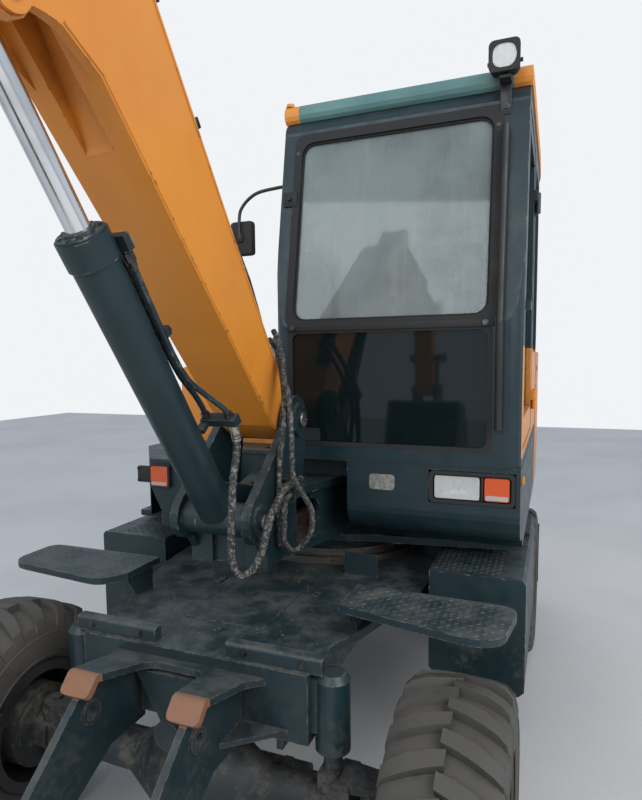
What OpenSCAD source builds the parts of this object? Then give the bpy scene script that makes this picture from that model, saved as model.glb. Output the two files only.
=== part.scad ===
// Compact wheeled excavator with a swing boom.
// Millimetres, X forward, Y to the machine's left, Z up from the ground.
// Side profiles are drawn in X and Z and extruded across the machine.

/* [Stance] */
// Distance between the front and rear axles
wheelbase = 2130; // [2050:10:2200]
// Front axle ahead of the turning centre
front_axle_x = 1280; // [1250:5:1320]
// Distance between the middles of the left and right tyres
track = 1600; // [1580:5:1640]

/* [Tyres and rims] */
// Outer radius of a tyre over its lugs
tyre_r = 420; // [405:1:430]
// Width of a tyre
tyre_w = 305; // [285:1:320]
// Radius of the rim's bead seat
rim_r = 210; // [200:1:220]
// Height of a tread lug
lug_h = 18; // [12:1:24]
// Lugs on each side of a tyre
lug_count = 18; // [14:1:22]

/* [Axles] */
// Radius of an axle tube
axle_tube_r = 58; // [50:1:64]
// Radius of the bowl in the middle of an axle
axle_bowl_r = 150; // [130:1:165]
// Kingpin distance from the middle of the machine
kingpin_y = 590; // [580:1:600]
// Radius of a kingpin
kingpin_r = 18; // [14:0.5:22]
// Radius of a wheel spindle
spindle_r = 40; // [32:1:46]

/* [Chassis] */
// Height of the top of the deck plate
deck_z = 835; // [820:1:845]
// Thickness of the deck plate
deck_t = 30; // [20:1:36]
// Height of the frame's box under the deck
frame_h = 225; // [210:1:240]
// Half width of the frame's side plates
frame_half_w = 300; // [280:1:320]
// Front end of the chassis frame
chassis_front_x = 1340; // [1320:1:1380]
// Rear end of the chassis frame
chassis_rear_x = 1180; // [1150:1:1250]
// Height of the top of a step
step_z = 950; // [940:1:958]
// Thickness of a step's edge
step_t = 24; // [16:1:30]
// Half width of the machine over its side boxes
box_half_w = 950; // [935:1:955]

/* [Front bracket] */
// Distance between the two inclined plates
arm_gap = 370; // [340:2:400]
// Thickness of each inclined plate
arm_t = 22; // [16:1:28]
// Radius of the bracket's pin bores
bracket_bore_r = 20; // [14:0.5:24]

/* [Blade] */
// Width of the dozer blade
blade_w = 1900; // [1800:10:1910]
// Height of the dozer blade
blade_h = 430; // [400:5:450]

/* [Turntable] */
// Outer radius of the slewing ring
ring_r = 430; // [400:5:450]
// Height of the slewing ring
ring_h = 120; // [110:1:130]

/* [Upper body] */
// Width of the upper body
upper_w = 1850; // [1820:2:1870]
// Radius of the tail's swing
tail_r = 1650; // [1600:5:1700]
// Height of the counterweight's top
weight_top_z = 1560; // [1500:5:1600]
// Height of the engine cover's top
hood_top_z = 1750; // [1700:5:1800]
// Height of the right-hand body's top
side_top_z = 1690; // [1600:5:1720]
// Height of the low box in front of it
low_top_z = 1285; // [1240:5:1320]

/* [Cab] */
// Height of the cab's floor seam
cab_floor_z = 1330; // [1310:1:1345]
// Height of the cab's roof
cab_roof_z = 2790; // [2740:5:2860]
// Front face of the cab ahead of the turning centre
cab_front_x = 620; // [600:1:630]
// Length of the cab
cab_len = 1450; // [1400:5:1480]
// Machine's middle to the cab's inner wall
cab_inner_y = -30; // [-40:1:-10]
// Wall thickness of the cab
cab_wall = 45; // [35:1:55]
// Thickness of the glass
glass_t = 6; // [5:1:8]

/* [Swing post and boom] */
// Swing pin ahead of the turning centre
post_x = 820; // [815:1:835]
// Boom foot pin height
foot_z = 1505; // [1495:1:1515]
// Boom length from foot pin to tip pin
boom_len = 3030; // [2950:10:3100]
// Angle of the boom's foot-to-tip line
boom_a = 30.4; // [28:0.2:33]
// Width of the boom
boom_w = 210; // [196:2:220]
// Radius of the boom's pins
boom_pin_r = 27; // [22:0.5:32]

/* [Arm and bucket] */
// Arm length from pivot to bucket pin
arm_len = 1600; // [1550:10:1650]
// Direction of the arm as parked
arm_a = -85; // [-90:1:-80]
// Width of the arm
arm_w = 140; // [130:1:146]
// Width of the bucket
bucket_w = 620; // [560:10:680]
// Radius of the bucket's back
bucket_r = 400; // [370:5:430]
// Bucket teeth
tooth_count = 5; // [4:1:6]

/* [Cylinders] */
// Boom cylinder: outer radius of the barrel
boom_barrel_r = 60; // [56:1:66]
// Arm cylinder: outer radius of the barrel
arm_barrel_r = 52; // [48:1:56]
// Bucket cylinder: outer radius of the barrel
bucket_barrel_r = 46; // [42:1:50]

/* [Hidden] */
$fn = 48;

// Running clearance of pins and shafts, side play, and clearance of moving pieces
fit = 0.05;
play = 0.3;
clear = 8;
rear_axle_x = front_axle_x - wheelbase;
axle_z = tyre_r;
half_track = track / 2;
half_w = upper_w / 2;
ring_top = deck_z + ring_h;
upper_z = ring_top + 30;
flange_z = ring_top + 70;
flange_top = ring_top + 282;
web_top = ring_top + 105;
cab_rear_x = cab_front_x - cab_len;
cab_outer_y = half_w;

// Points of the working equipment, as [x, z]
foot = [post_x - 20, foot_z];
cyl_foot = foot + [320, -305];
lug = cyl_foot + 1490 * [cos(54), sin(54)];
tip = foot + boom_len * [cos(boom_a), sin(boom_a)];
arm_foot = tip + [-1311, 134];
arm_u = [cos(arm_a), sin(arm_a)];
arm_v = [-sin(arm_a), cos(arm_a)];
function on_arm(u, v) = tip + u * arm_u + v * arm_v;
arm_eye = on_arm(-312, 180);
bucket_pin = on_arm(arm_len, 0);
bucket_foot = on_arm(80, 235);
idler_pin = on_arm(arm_len - 272, 35);
link_knee = on_arm(arm_len - 248.6, 293.9);
link_pin = bucket_pin + [240, 0];

shell_c = bucket_pin + [-20, -bucket_r - 110];
// The whole machine's middle, front to back, becomes the origin
front_reach = shell_c[0] + bucket_r;
middle_x = (front_reach - tail_r) / 2;

// Outline helpers
function arc(c, r, a0, a1, n = 10) =
  [for (i = [0:n]) c + r * [cos(a0 + (a1 - a0) * i / n), sin(a0 + (a1 - a0) * i / n)]];
function curve(a, c, b, n = 6) =
  [for (i = [0:n]) let (t = i / n) (1 - t) * (1 - t) * a + 2 * t * (1 - t) * c + t * t * b];
function angle_of(a, b) = atan2(b[1] - a[1], b[0] - a[0]);
// Strap with round ends of radius ra at a and rb at b
function strap(a, b, ra, rb, n = 10) =
  let (t = angle_of(a, b), p = acos((ra - rb) / norm(b - a)))
  concat(arc(b, rb, t - p, t + p, n), arc(a, ra, t + p, t + 360 - p, n));
function rounded(x0, y0, x1, y1, r, n = 6) = concat(
  arc([x1 - r, y0 + r], r, -90, 0, n), arc([x1 - r, y1 - r], r, 0, 90, n),
  arc([x0 + r, y1 - r], r, 90, 180, n), arc([x0 + r, y0 + r], r, 180, 270, n));

// A side profile from y0 to y1
module across(y0, y1) {
  translate([0, y1, 0]) rotate([90, 0, 0]) linear_extrude(y1 - y0) children();
}
module both_sides() {
  children();
  mirror([0, 1, 0]) children();
}
// A bar across the machine at the side point p
module cross_bar(p, y0, y1, r) {
  translate([p[0], y1, p[1]]) rotate([90, 0, 0]) cylinder(h = y1 - y0, r = r);
}
// A round bar from a to b in the plane y
module rod_between(a, b, r, y = 0) {
  translate([a[0], y, a[1]]) rotate([0, 90 - angle_of(a, b), 0]) cylinder(h = norm(b - a), r = r);
}

// A hose or pipe of radius r along a route, smoothed between its points
function unit(v) = v / norm(v);
function between(p, i, t) =
  let (a = p[max(i - 1, 0)], b = p[i], c = p[i + 1], d = p[min(i + 2, len(p) - 1)])
  0.5 * (2 * b + (c - a) * t + (2 * a - 5 * b + 4 * c - d) * t * t + (3 * b - a - 3 * c + d) * t * t * t);
function smoothed(p, k) =
  concat([for (i = [0:len(p) - 2], j = [0:k - 1]) between(p, i, j / k)], [p[len(p) - 1]]);
module tube(route, r, k = 2, sides = 8) {
  p = smoothed(route, k);
  n = len(p);
  t = [for (i = [0:n - 1]) unit(p[min(i + 1, n - 1)] - p[max(i - 1, 0)])];
  u = [for (i = 0, a = unit(cross(t[0], [0.31, 0.17, 0.94])); i < n;
        i = i + 1, a = i < n ? unit(a - (a * t[i]) * t[i]) : a) a];
  points = [for (i = [0:n - 1], j = [0:sides - 1])
    p[i] + r * (cos(360 * j / sides) * u[i] + sin(360 * j / sides) * cross(t[i], u[i]))];
  walls = [for (i = [0:n - 2], j = [0:sides - 1]) let (k2 = (j + 1) % sides, a = i * sides, b = a + sides)
    each [[a + j, b + j, b + k2], [a + j, b + k2, a + k2]]];
  ends = [[for (j = [0:sides - 1]) j], [for (j = [0:sides - 1]) n * sides - 1 - j]];
  polyhedron(points, concat(ends, walls));
}

// Chassis

module chassis_frame() {
  color("#1d3a42") difference() {
    union() {
      deck();
      for (s = [-1, 1])
        translate([-chassis_rear_x, s * frame_half_w - 10, deck_z - deck_t - frame_h])
          cube([chassis_rear_x + chassis_front_x - 20, 20, frame_h + 1]);
      translate([-chassis_rear_x, -frame_half_w, deck_z - deck_t - frame_h])
        cube([chassis_rear_x + front_axle_x - 280, 2 * frame_half_w, 20]);
      front_beam();
      rear_beam();
      trunnion_lug(front_axle_x - 110, 30);
      rear_axle_pads();
      deck_lips();
      blade_ears();
    }
    cross_x_bore([front_axle_x - 130, 0, pivot_z], 80, 25);
  }
}

pivot_z = axle_z + 210;
front_half_w = 400;
deck_outline = [
  [chassis_front_x, -front_half_w], [chassis_front_x, front_half_w], [1150, front_half_w], [1010, 455], [640, 560],
  [330, 600], [-330, 600], [-640, 520], [-900, 360], [-chassis_rear_x, 360],
  [-chassis_rear_x, -360], [-900, -360], [-640, -520], [-330, -600], [330, -600],
  [640, -560], [1010, -455], [1150, -front_half_w]
];
module deck() {
  translate([0, 0, deck_z - deck_t]) linear_extrude(deck_t) polygon(deck_outline);
}
module front_beam() {
  difference() {
    translate([chassis_front_x - 80, -front_half_w, deck_z - 210]) cube([80, 2 * front_half_w, 195]);
    translate([chassis_front_x - 81, -110, deck_z - 211]) cube([82, 220, 75]);
  }
}
module rear_beam() {
  translate([-chassis_rear_x, -360, deck_z - 260]) cube([70, 720, 245]);
}
// Bars with rounded tops bolted along the front of the deck
module deck_lips() {
  for (s = [-1, 1])
    translate([chassis_front_x - 50, s * 283, deck_z - 1])
      rotate([90, 0, 0]) translate([0, 0, -156])
        linear_extrude(312) polygon(concat([[0, 0], [36, 0]], arc([24, 36], 12, 0, 90, 4), [[0, 48]]));
}
module cross_x_bore(p, l, r) {
  translate(p) rotate([0, 90, 0]) cylinder(h = l, r = r);
}
// Lug that carries the rocking pin of the front axle, from x over t
module trunnion_lug(x, t) {
  translate([x, 0, 0]) rotate([90, 0, 90]) linear_extrude(t)
    polygon(concat([[150, deck_z - deck_t - 20], [-150, deck_z - deck_t - 20]],
                   arc([0, pivot_z], 60, 180, 360, 12)));
}
// Saddles on the rear axle's tubes
module rear_axle_pads() {
  for (s = [-1, 1]) difference() {
    translate([rear_axle_x - 65, s * 345 - 55, axle_z + 20])
      cube([130, 110, deck_z - deck_t - frame_h - axle_z]);
    cross_bar([rear_axle_x, axle_z], s * 345 - 60, s * 345 + 60, axle_tube_r + 3.5);
  }
}
// Ears behind the frame for the blade's arms and its cylinder
blade_arm_y = 235;
module blade_ears() {
  both_sides() for (y = [blade_arm_y - 30 - play - 24, blade_arm_y + 30 + play])
    across(y, y + 24) polygon(concat(arc(blade_pin, 48, 180, 330, 8),
      [[-chassis_rear_x + 150, deck_z - 240], [-chassis_rear_x + 2, deck_z - 240]]));
  both_sides() cross_bar(blade_pin, blade_arm_y - 62, blade_arm_y + 62, 22);
  both_sides() across(54, 74) polygon(concat(arc(blade_foot, 40, 90, 270, 8),
    [[-chassis_rear_x + 2, blade_foot[1] - 55], [-chassis_rear_x + 2, blade_foot[1] + 55]]));
  cross_bar(blade_foot, -82, 82, 22);
}

// Horned bracket in front, with bores for an attachment's pins
horn_x = 1592;
horn_z = deck_z - 52;
// The horned plate rises towards its tips
horn_rise = 13.3;
horn_end = [chassis_front_x, horn_z] + (horn_x - chassis_front_x) * [cos(horn_rise), sin(horn_rise)];
bracket_eye = [1583, 745];
bracket_toe = [1862, 490];
module front_bracket() {
  y_in = arm_gap / 2 - arm_t;
  color("#1f3d45") difference() {
    union() {
      translate([chassis_front_x, 0, horn_z]) rotate([0, -horn_rise, 0]) translate([-chassis_front_x, 0, 0]) {
        linear_extrude(20) polygon(horn_outline);
        for (s = [-1, 1]) horn_tip(s);
      }
      for (s = [-1, 1])
        across(s > 0 ? y_in : -y_in - arm_t, s > 0 ? y_in + arm_t : -y_in) polygon(concat(
          [[chassis_front_x, horn_z + 1], horn_end + [-2, 1], horn_end + [36, -36]],
          arc(bracket_toe, 78, 40, -140, 10),
          [[1500, 600], [chassis_front_x, 600]]));
      for (s = [-1, 1]) translate([0, s * (arm_gap / 2 - arm_t / 2), 0]) {
        cross_bar(bracket_eye, -arm_t / 2 - 9, arm_t / 2 + 9, 34);
        cross_bar(bracket_toe, -arm_t / 2 - 9, arm_t / 2 + 9, 42);
      }
      for (s = [-1, 1]) gusset(s);
      translate([chassis_front_x, -arm_gap / 2, deck_z - 210]) cube([14, arm_gap, 172]);
      trunnion_lug(chassis_front_x + 13, 46);
      cross_x_bore([chassis_front_x + 50, 0, pivot_z], 65, 46);
    }
    cross_x_bore([chassis_front_x - 1, 0, pivot_z], 100, 25);
    cross_bar(bracket_eye, -400, 400, bracket_bore_r);
    cross_bar(bracket_toe, -400, 400, bracket_bore_r + 4);
  }
}
horn_outline = concat(
  [[chassis_front_x + 5, -270], [chassis_front_x + 5, 270], [chassis_front_x + 70, 235]],
  [[horn_x, arm_gap / 2 + 38], [horn_x, arm_gap / 2 - 60]],
  curve([1470, arm_gap / 2 - 75], [1400, arm_gap / 2 - 80], [1395, 60], 5),
  curve([1395, -60], [1400, -arm_gap / 2 + 80], [1470, -arm_gap / 2 + 75], 5),
  [[horn_x, -arm_gap / 2 + 60], [horn_x, -arm_gap / 2 - 38], [chassis_front_x + 70, -235]]);
module horn_tip(s) {
  down = 52 * [cos(60), -sin(60)];
  translate([horn_x, s * (arm_gap / 2 - 11), 0]) intersection() {
    across(-49, 49) polygon(concat([[-2, 0], [-2, 20]], arc([0, 0], 20, 90, 30, 6),
      [20 * [cos(30), sin(30)] + down, down, [0, 0]]));
    rotate([0, 60, 0]) translate([0, 0, -60]) linear_extrude(140) polygon(concat(
      [[-90, -60], [20, -60]], arc([36, -33], 16, -90, 0, 3), arc([36, 33], 16, 0, 90, 3), [[20, 60], [-90, 60]]));
  }
}
module gusset(s) {
  translate([chassis_front_x, s * (arm_gap / 2), deck_z - 190]) mirror([0, s < 0 ? 1 : 0, 0])
    linear_extrude(16) polygon([[0, -4], [130, -4], [0, 150]]);
}

ring_split = 60;
module slew_ring() {
  color("#5b5a55") translate([0, 0, deck_z]) difference() {
    union() {
      cylinder(h = 30, r = ring_r + 30);
      cylinder(h = ring_split, r = ring_r);
    }
    translate([0, 0, -1]) cylinder(h = ring_h + 2, r = ring_r - 90);
  }
}

// Axles, drawn with their length along Y
axle_profile = [
  [0, -520], [axle_tube_r + 12, -520], [axle_tube_r + 12, -470], [axle_tube_r, -455],
  [axle_tube_r + 4, -240], [axle_bowl_r - 25, -120], [axle_bowl_r, -60],
  [axle_bowl_r, 60], [axle_bowl_r - 25, 120], [axle_tube_r + 4, 240],
  [axle_tube_r, 455], [axle_tube_r + 12, 470], [axle_tube_r + 12, 520], [0, 520]
];
module axle_body(x) {
  translate([x, 0, axle_z]) rotate([-90, 0, 0]) rotate_extrude($fn = 40) polygon(axle_profile);
}
module front_axle() {
  color("#22343a") difference() {
    union() {
      axle_body(front_axle_x);
      // Cradle with the rocking pin
      translate([front_axle_x - 60, -46, axle_z + 40]) cube([114, 92, pivot_z - axle_z - 40]);
      cross_x_bore([front_axle_x - 66, 0, pivot_z], 126, 56);
      cross_x_bore([front_axle_x - 125, 0, pivot_z], chassis_front_x + 98 - front_axle_x + 125, 25 - fit);
      // Pads under the locking cylinders
      for (s = [-1, 1])
        translate([front_axle_x - 42, s * (lock_y - 4) - 30, axle_z + 30]) cube([84, 60, 90]);
      // Steering cylinder behind the axle, with its brackets
      translate([front_axle_x - 190, -300, axle_z - 72]) rotate([-90, 0, 0]) cylinder(h = 600, r = 34);
      translate([front_axle_x - 190, -430, axle_z - 72]) rotate([-90, 0, 0]) cylinder(h = 860, r = 15);
      for (s = [-1, 1])
        translate([front_axle_x - 190, s * 230 - 15, axle_z - 95]) cube([160, 30, 70]);
      // Forks that hold the kingpins
      for (s = [-1, 1], k = [-1, 1])
        translate([front_axle_x, 0, axle_z + k * 100 - 12]) linear_extrude(24)
          polygon([for (p = concat(arc([0, kingpin_y], 45, 180, 0, 12), [[60, 470], [-60, 470]]))
            [p[0], s * p[1]]]);
      for (s = [-1, 1])
        translate([front_axle_x - 60, s * 495 - 25, axle_z - 112]) cube([120, 50, 224]);
    }
    for (s = [-1, 1])
      translate([front_axle_x, s * kingpin_y, axle_z - 130]) cylinder(h = 260, r = kingpin_r + fit);
  }
}
module rear_axle() {
  color("#22343a") union() {
    axle_body(rear_axle_x);
    for (s = [-1, 1]) translate([rear_axle_x, 0, axle_z]) rotate([s * -90, 0, 0]) {
      translate([0, 0, 515]) cylinder(h = 150, r = 95);
      translate([0, 0, 660]) cylinder(h = 100, r = drum_r);
      translate([0, 0, 755]) cylinder(h = spindle_end - 755, r = spindle_r);
    }
  }
}
drum_r = 140;
spindle_end = half_track + 82;
lock_y = 454;

module knuckle(s) {
  color("#22343a") translate([front_axle_x, 0, axle_z]) {
    translate([0, s * kingpin_y, -88 + play]) cylinder(h = 176 - 2 * play, r = 52);
    translate([0, s * kingpin_y, -124]) cylinder(h = 248, r = kingpin_r);
    rotate([s * -90, 0, 0]) {
      translate([0, 0, kingpin_y]) cylinder(h = 60, r = 70);
      translate([0, 0, kingpin_y + 55]) cylinder(h = 20, r = drum_r - 15);
      translate([0, 0, kingpin_y + 70]) cylinder(h = 100, r = drum_r);
      translate([0, 0, 755]) cylinder(h = spindle_end - 755, r = spindle_r);
    }
    // Arm for the steering rod
    translate([-200, s * kingpin_y - 20, -85]) cube([190, 40, 26]);
  }
}
module left_knuckle() knuckle(1);
module right_knuckle() knuckle(-1);

// Upright cylinders that lock the front axle's rocking
module axle_lock_cylinders() {
  color("#1d3a42") both_sides() translate([front_axle_x, lock_y, 0]) {
    translate([0, 0, 600]) cylinder(h = deck_z - 24 - 600, r = 52);
    translate([0, 0, deck_z - 24]) cylinder(h = 20, r1 = 52, r2 = 38);
    translate([0, 0, axle_z + 120]) cylinder(h = 535 - axle_z, r = 28);
    translate([-40, front_half_w - lock_y, 655]) cube([80, 60, 160]);
  }
}

module drive_line() {
  color("#2a2e30") {
    translate([-180, -130, 330]) cube([360, 260, deck_z - deck_t - frame_h - 330]);
    cross_x_bore([179, 0, axle_z], front_axle_x - 179 - axle_bowl_r, 28);
    cross_x_bore([rear_axle_x + axle_bowl_r, 0, axle_z], -179 - rear_axle_x - axle_bowl_r, 28);
  }
}

// Steps beside the deck, with the legs that carry them
step_right = concat([[900, -412], [1098, -412]], curve([1160, -450], [1188, -474], [1184, -520], 3),
  curve([1150, -860], [1142, -930], [1080, -940], 4), curve([960, -942], [912, -942], [910, -890], 4));
step_left = concat([[904, 414], [1098, 408]], curve([1182, 780], [1206, 890], [1130, 918], 5),
  curve([985, 938], [926, 946], [921, 880], 4));
module access_steps() {
  color("#1d3a42") for (outline = [step_left, step_right]) {
    s = outline[0][1] > 0 ? 1 : -1;
    translate([0, 0, step_z - step_t]) linear_extrude(step_t) polygon(outline);
    // Plate beside the step, standing on the deck
    translate([514, s > 0 ? 236 : -378, deck_z]) cube([12, 142, 92]);
    translate([0, s > 0 ? 430 : -442, 0]) across(0, 12)
      polygon([[925, deck_z], [1010, deck_z], [1075, step_z - step_t], [925, step_z - step_t]]);
    translate([920, s > 0 ? 430 : -800, step_z - step_t - 40]) cube([14, 370, 40]);
  }
}

// Boxes along the chassis sides behind the front wheels
box_x0 = -330;
box_x1 = 600;
box_z0 = 480;
module side_boxes() {
  color("#1d3a42") both_sides() {
    translate([box_x0, 0, 0]) rotate([90, 0, 90]) linear_extrude(box_x1 - box_x0)
      polygon([[600, box_z0 + 60], [660, box_z0], [box_half_w - 20, box_z0], [box_half_w, box_z0 + 20],
               [box_half_w, step_z - 42], [box_half_w - 12, step_z - 30], [600, step_z - 30]]);
    translate([box_x0 + 40, frame_half_w + 10, deck_z - 100]) cube([box_x1 - box_x0 - 80, 292 - 2, 20]);
    translate([box_x0, box_half_w - 85, step_z - 31]) cube([360, 75, 22]);
  }
}

// Tyres and rims, drawn with their axle along Z and the outer side up
tyre_profile = [
  [rim_r, -tyre_w / 2 + 28], [rim_r + 13, -tyre_w / 2 + 28], [rim_r + 34, -tyre_w / 2 + 6],
  [rim_r + 95, -tyre_w / 2],
  [tyre_r - 60, -tyre_w / 2 + 8], [tyre_r - lug_h - 8, -tyre_w / 2 + 34], [tyre_r - lug_h, 0],
  [tyre_r - lug_h - 8, tyre_w / 2 - 34], [tyre_r - 60, tyre_w / 2 - 8], [rim_r + 95, tyre_w / 2],
  [rim_r + 34, tyre_w / 2 - 6], [rim_r + 13, tyre_w / 2 - 28], [rim_r, tyre_w / 2 - 28]
];
module tyre() {
  color("#3a3936") union() {
    rotate_extrude($fn = 36) polygon(tyre_profile);
    intersection() {
      cylinder(h = 2 * tyre_w, r = tyre_r, center = true, $fn = 96);
      for (side = [-1, 1], i = [0:lug_count - 1])
        rotate([0, 0, 360 / lug_count * (i + (side > 0 ? 0.5 : 0))]) lug(side);
    }
  }
}
// One slanted lug from near the middle over the shoulder
module lug(side) {
  h = tyre_w / 2 - 8;
  translate([tyre_r - lug_h - 14, 0, 0]) rotate([90, 0, 90]) linear_extrude(lug_h + 24)
    polygon([[-14, side * 8], [18, side * 8], [52, side * h], [8, side * h]]);
}
rim_profile = [
  [0, 38], [70, 38], [70, 48], [rim_r - 50, 20], [rim_r - 22, 20], [rim_r - 22, -tyre_w / 2 + 14],
  [rim_r + 12, -tyre_w / 2 + 14], [rim_r + 12, -tyre_w / 2 + 28], [rim_r, -tyre_w / 2 + 28],
  [rim_r, tyre_w / 2 - 28], [rim_r + 12, tyre_w / 2 - 28], [rim_r + 12, tyre_w / 2 - 14],
  [rim_r - 14, tyre_w / 2 - 14], [rim_r - 14, 34], [rim_r - 44, 34], [100, 64], [92, 96], [0, 102]
];
module rim() {
  color("#1b1c1d") difference() {
    rotate_extrude($fn = 48) polygon(rim_profile);
    translate([0, 0, -200]) cylinder(h = 200 + spindle_end - half_track + play, r = spindle_r + fit);
    for (i = [0:7]) rotate([0, 0, 45 * i]) translate([rim_r - 68, 0, -20]) cylinder(h = 100, r = 13);
  }
}
module at_wheel(x, s) {
  mirror([0, s < 0 ? 1 : 0, 0]) translate([x, half_track, axle_z]) rotate([-90, 0, 0]) children();
}
module tyre_front_left() at_wheel(front_axle_x, 1) tyre();
module tyre_front_right() at_wheel(front_axle_x, -1) tyre();
module tyre_rear_left() at_wheel(rear_axle_x, 1) tyre();
module tyre_rear_right() at_wheel(rear_axle_x, -1) tyre();
module rim_front_left() at_wheel(front_axle_x, 1) rim();
module rim_front_right() at_wheel(front_axle_x, -1) rim();
module rim_rear_left() at_wheel(rear_axle_x, 1) rim();
module rim_rear_right() at_wheel(rear_axle_x, -1) rim();

// Hydraulic cylinders: a is the foot pin, b the rod's eye as parked
module barrel(a, b, len, outer_r, rod_r, eye_r, eye_w, pin_r) {
  bore_r = outer_r - 10;
  t = angle_of(a, b);
  u = [cos(t), sin(t)];
  difference() {
    union() {
      cross_bar(a, -eye_w / 2, eye_w / 2, eye_r);
      rod_between(a + (eye_r - 14) * u, a + len * u, outer_r);
      rod_between(a + (len - 70) * u, a + len * u, outer_r + 6);
    }
    cross_bar(a, -eye_w, eye_w, pin_r + fit);
    rod_between(a + (eye_r + 18) * u, a + (len - 60) * u, bore_r);
    rod_between(a + (len - 80) * u, a + (len + 10) * u, rod_r + fit);
  }
}
// The eye is filled, because the linkage is opened at this pin
module piston_rod(a, b, shut, outer_r, rod_r, eye_r, eye_w) {
  t = angle_of(a, b);
  u = [cos(t), sin(t)];
  len = shut - eye_r - 30;
  rod_between(b - len * u, b - (eye_r - 12) * u, rod_r);
  rod_between(b - len * u, b - (len - 45) * u, outer_r - 10.1);
  cross_bar(b, -eye_w / 2, eye_w / 2, eye_r);
}

// Blade at the rear, on two arms with one lifting cylinder
blade_pin = [-chassis_rear_x + 60, 470];
blade_x = -1560;
blade_low = 130;
blade_foot = [-chassis_rear_x - 46, 700];
blade_eye = [-1475, 430];
blade_barrel_len = 262;
module blade() {
  color("#1d3a42") difference() {
    union() {
      across(-blade_w / 2, blade_w / 2) polygon(concat(
        arc([blade_x - 350 - 45, blade_low + blade_h / 2], 395, -32, 32, 10),
        arc([blade_x - 350 - 45, blade_low + blade_h / 2], 375, 32, -32, 10)));
      both_sides() across(blade_arm_y - 30, blade_arm_y + 30)
        polygon(strap(blade_pin, [blade_x + 36, 300], 50, 45));
      both_sides() across(54, 80) polygon(strap(blade_eye, [blade_x + 20, 360], 42, 60, 8));
    }
    cross_bar(blade_pin, -400, 400, 22 + fit);
  }
  both_sides() cross_bar(blade_eye, 54, 88, 22);
}
module blade_barrel() {
  color("#26282a") barrel(blade_foot, blade_eye, blade_barrel_len, 50, 25, 40, 108 - 2 * play, 22);
}
module blade_rod() {
  color("#c9ccce") piston_rod(blade_foot, blade_eye, blade_barrel_len + 54, 50, 25, 40, 108 - 2 * play);
}

// Upper body

module upper_frame() {
  color("#1d3a42") difference() {
    union() {
      translate([0, 0, ring_top]) linear_extrude(30) polygon(concat(
        [[-web_back - 50, -880], [-web_back - 50, 880], [360, 880], [400, 600]], curve([430, 400], [420, 300], [470, 230]),
        curve([470, -230], [420, -300], [430, -400]), [[400, -880]]));
      cylinder_ring();
      both_sides() across(138, 162) polygon([
        [-web_back, ring_top], [440, ring_top], [440, flange_top - 32], [308, flange_top - 32],
        [308, web_top], [-web_back, web_top]]);
      both_sides() nose_cheek();
      nose_plate(flange_top - 32, 32);
      nose_plate(upper_z, flange_z - upper_z);
      // Bulkhead beside the cab
      translate([415, -300, upper_z - 1]) cube([20, 262, 1325 - upper_z]);
      translate([395, -300, 1310]) cube([60, 262, 14]);
    }
    translate([post_x, 0, 900]) cylinder(h = 400, r = 42 + fit);
  }
}
// Slanted side plate of the nose, with an arch at its front for the hoses
web_back = tail_r - 450;
module nose_cheek() {
  translate([330, 222, 0]) rotate([0, 0, -14.4]) across(-16, 0) polygon(concat(
    [[-20, flange_top - 31], [-20, flange_z - 1], [345, flange_z - 1]],
    arc([335, (flange_top + flange_z - 32) / 2], 62, -90, -270, 8), [[345, flange_top - 31]]));
}
module cylinder_ring() {
  translate([0, 0, deck_z + ring_split + play]) cylinder(h = ring_h - ring_split, r = ring_r - 18);
}
module nose_plate(z, t) {
  translate([0, 0, z]) linear_extrude(t) polygon(concat(
    [[360, 235]], [[360, -235]], arc([post_x, 0], 108, -60, 60, 12)));
}

weight_front = 35 - cab_rear_x + (tail_r + cab_rear_x - 35) * 95 / 785;
module counterweight() {
  color("#e8930c") intersection() {
    rotate_extrude($fn = 96) polygon([
      [tail_r - 360, upper_z], [tail_r - 70, upper_z], [tail_r, upper_z + 80], [tail_r, weight_top_z - 50],
      [tail_r - 40, weight_top_z], [tail_r - 360, weight_top_z]]);
    translate([0, 0, 900]) linear_extrude(800) polygon(concat(
      arc([-tail_r + 80, half_w - 160], 160, 90, 180, 8), arc([-tail_r + 80, -half_w + 160], 160, 180, 270, 8),
      [[-weight_front, -half_w], [-weight_front, half_w]]));
  }
}

module engine_block() {
  color("#3a3d3f") translate([-(tail_r - 440), -330, web_top]) cube([tail_r - 1350, 660, 420]);
}

hood_x0 = -(tail_r - 120);
hood_x1 = cab_rear_x - 40;
module engine_hood() {
  color("#e8930c") difference() {
    hood_body(0);
    translate([0, 0, -20]) hood_body(20);
  }
}
module hood_body(d) {
  intersection() {
    across(-half_w + d, half_w - d) polygon(concat(
      [[hood_x1 - d, weight_top_z + play], [hood_x1 - d, hood_top_z]],
      arc([hood_x0 + 110, hood_top_z - 110], 110, 90, 160, 6), [[hood_x0 - 30, weight_top_z + play]]));
    translate([0, 0, 1000]) cylinder(h = 1000, r = tail_r - 25 - d, $fn = 96);
  }
}

// Right-hand body over the tanks, and the engine bay's side panels
module side_body() {
  color("#e8930c") {
    intersection() {
      translate([cab_rear_x - 35, 0, 0]) rotate([90, 0, 90]) linear_extrude(-cab_rear_x + 35)
        polygon(concat([[-half_w, upper_z], [-166, upper_z], [-166, web_top + play], [-75, web_top + play],
          [-75, side_top_z]], arc([-half_w + 70, side_top_z - 70], 70, 90, 180, 6)));
      translate([0, 0, 900]) linear_extrude(900) polygon(concat(
        [[cab_rear_x - 40, -half_w - 5], [-90, -half_w - 5]], arc([-90, -half_w + 85], 90, -90, 0, 6), [[0, 0]],
        [[cab_rear_x - 40, 0]]));
    }
    both_sides() translate([-weight_front, half_w - 40, upper_z])
      cube([cab_rear_x - 35 + weight_front, 40, weight_top_z - upper_z - 8]);
  }
}

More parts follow.
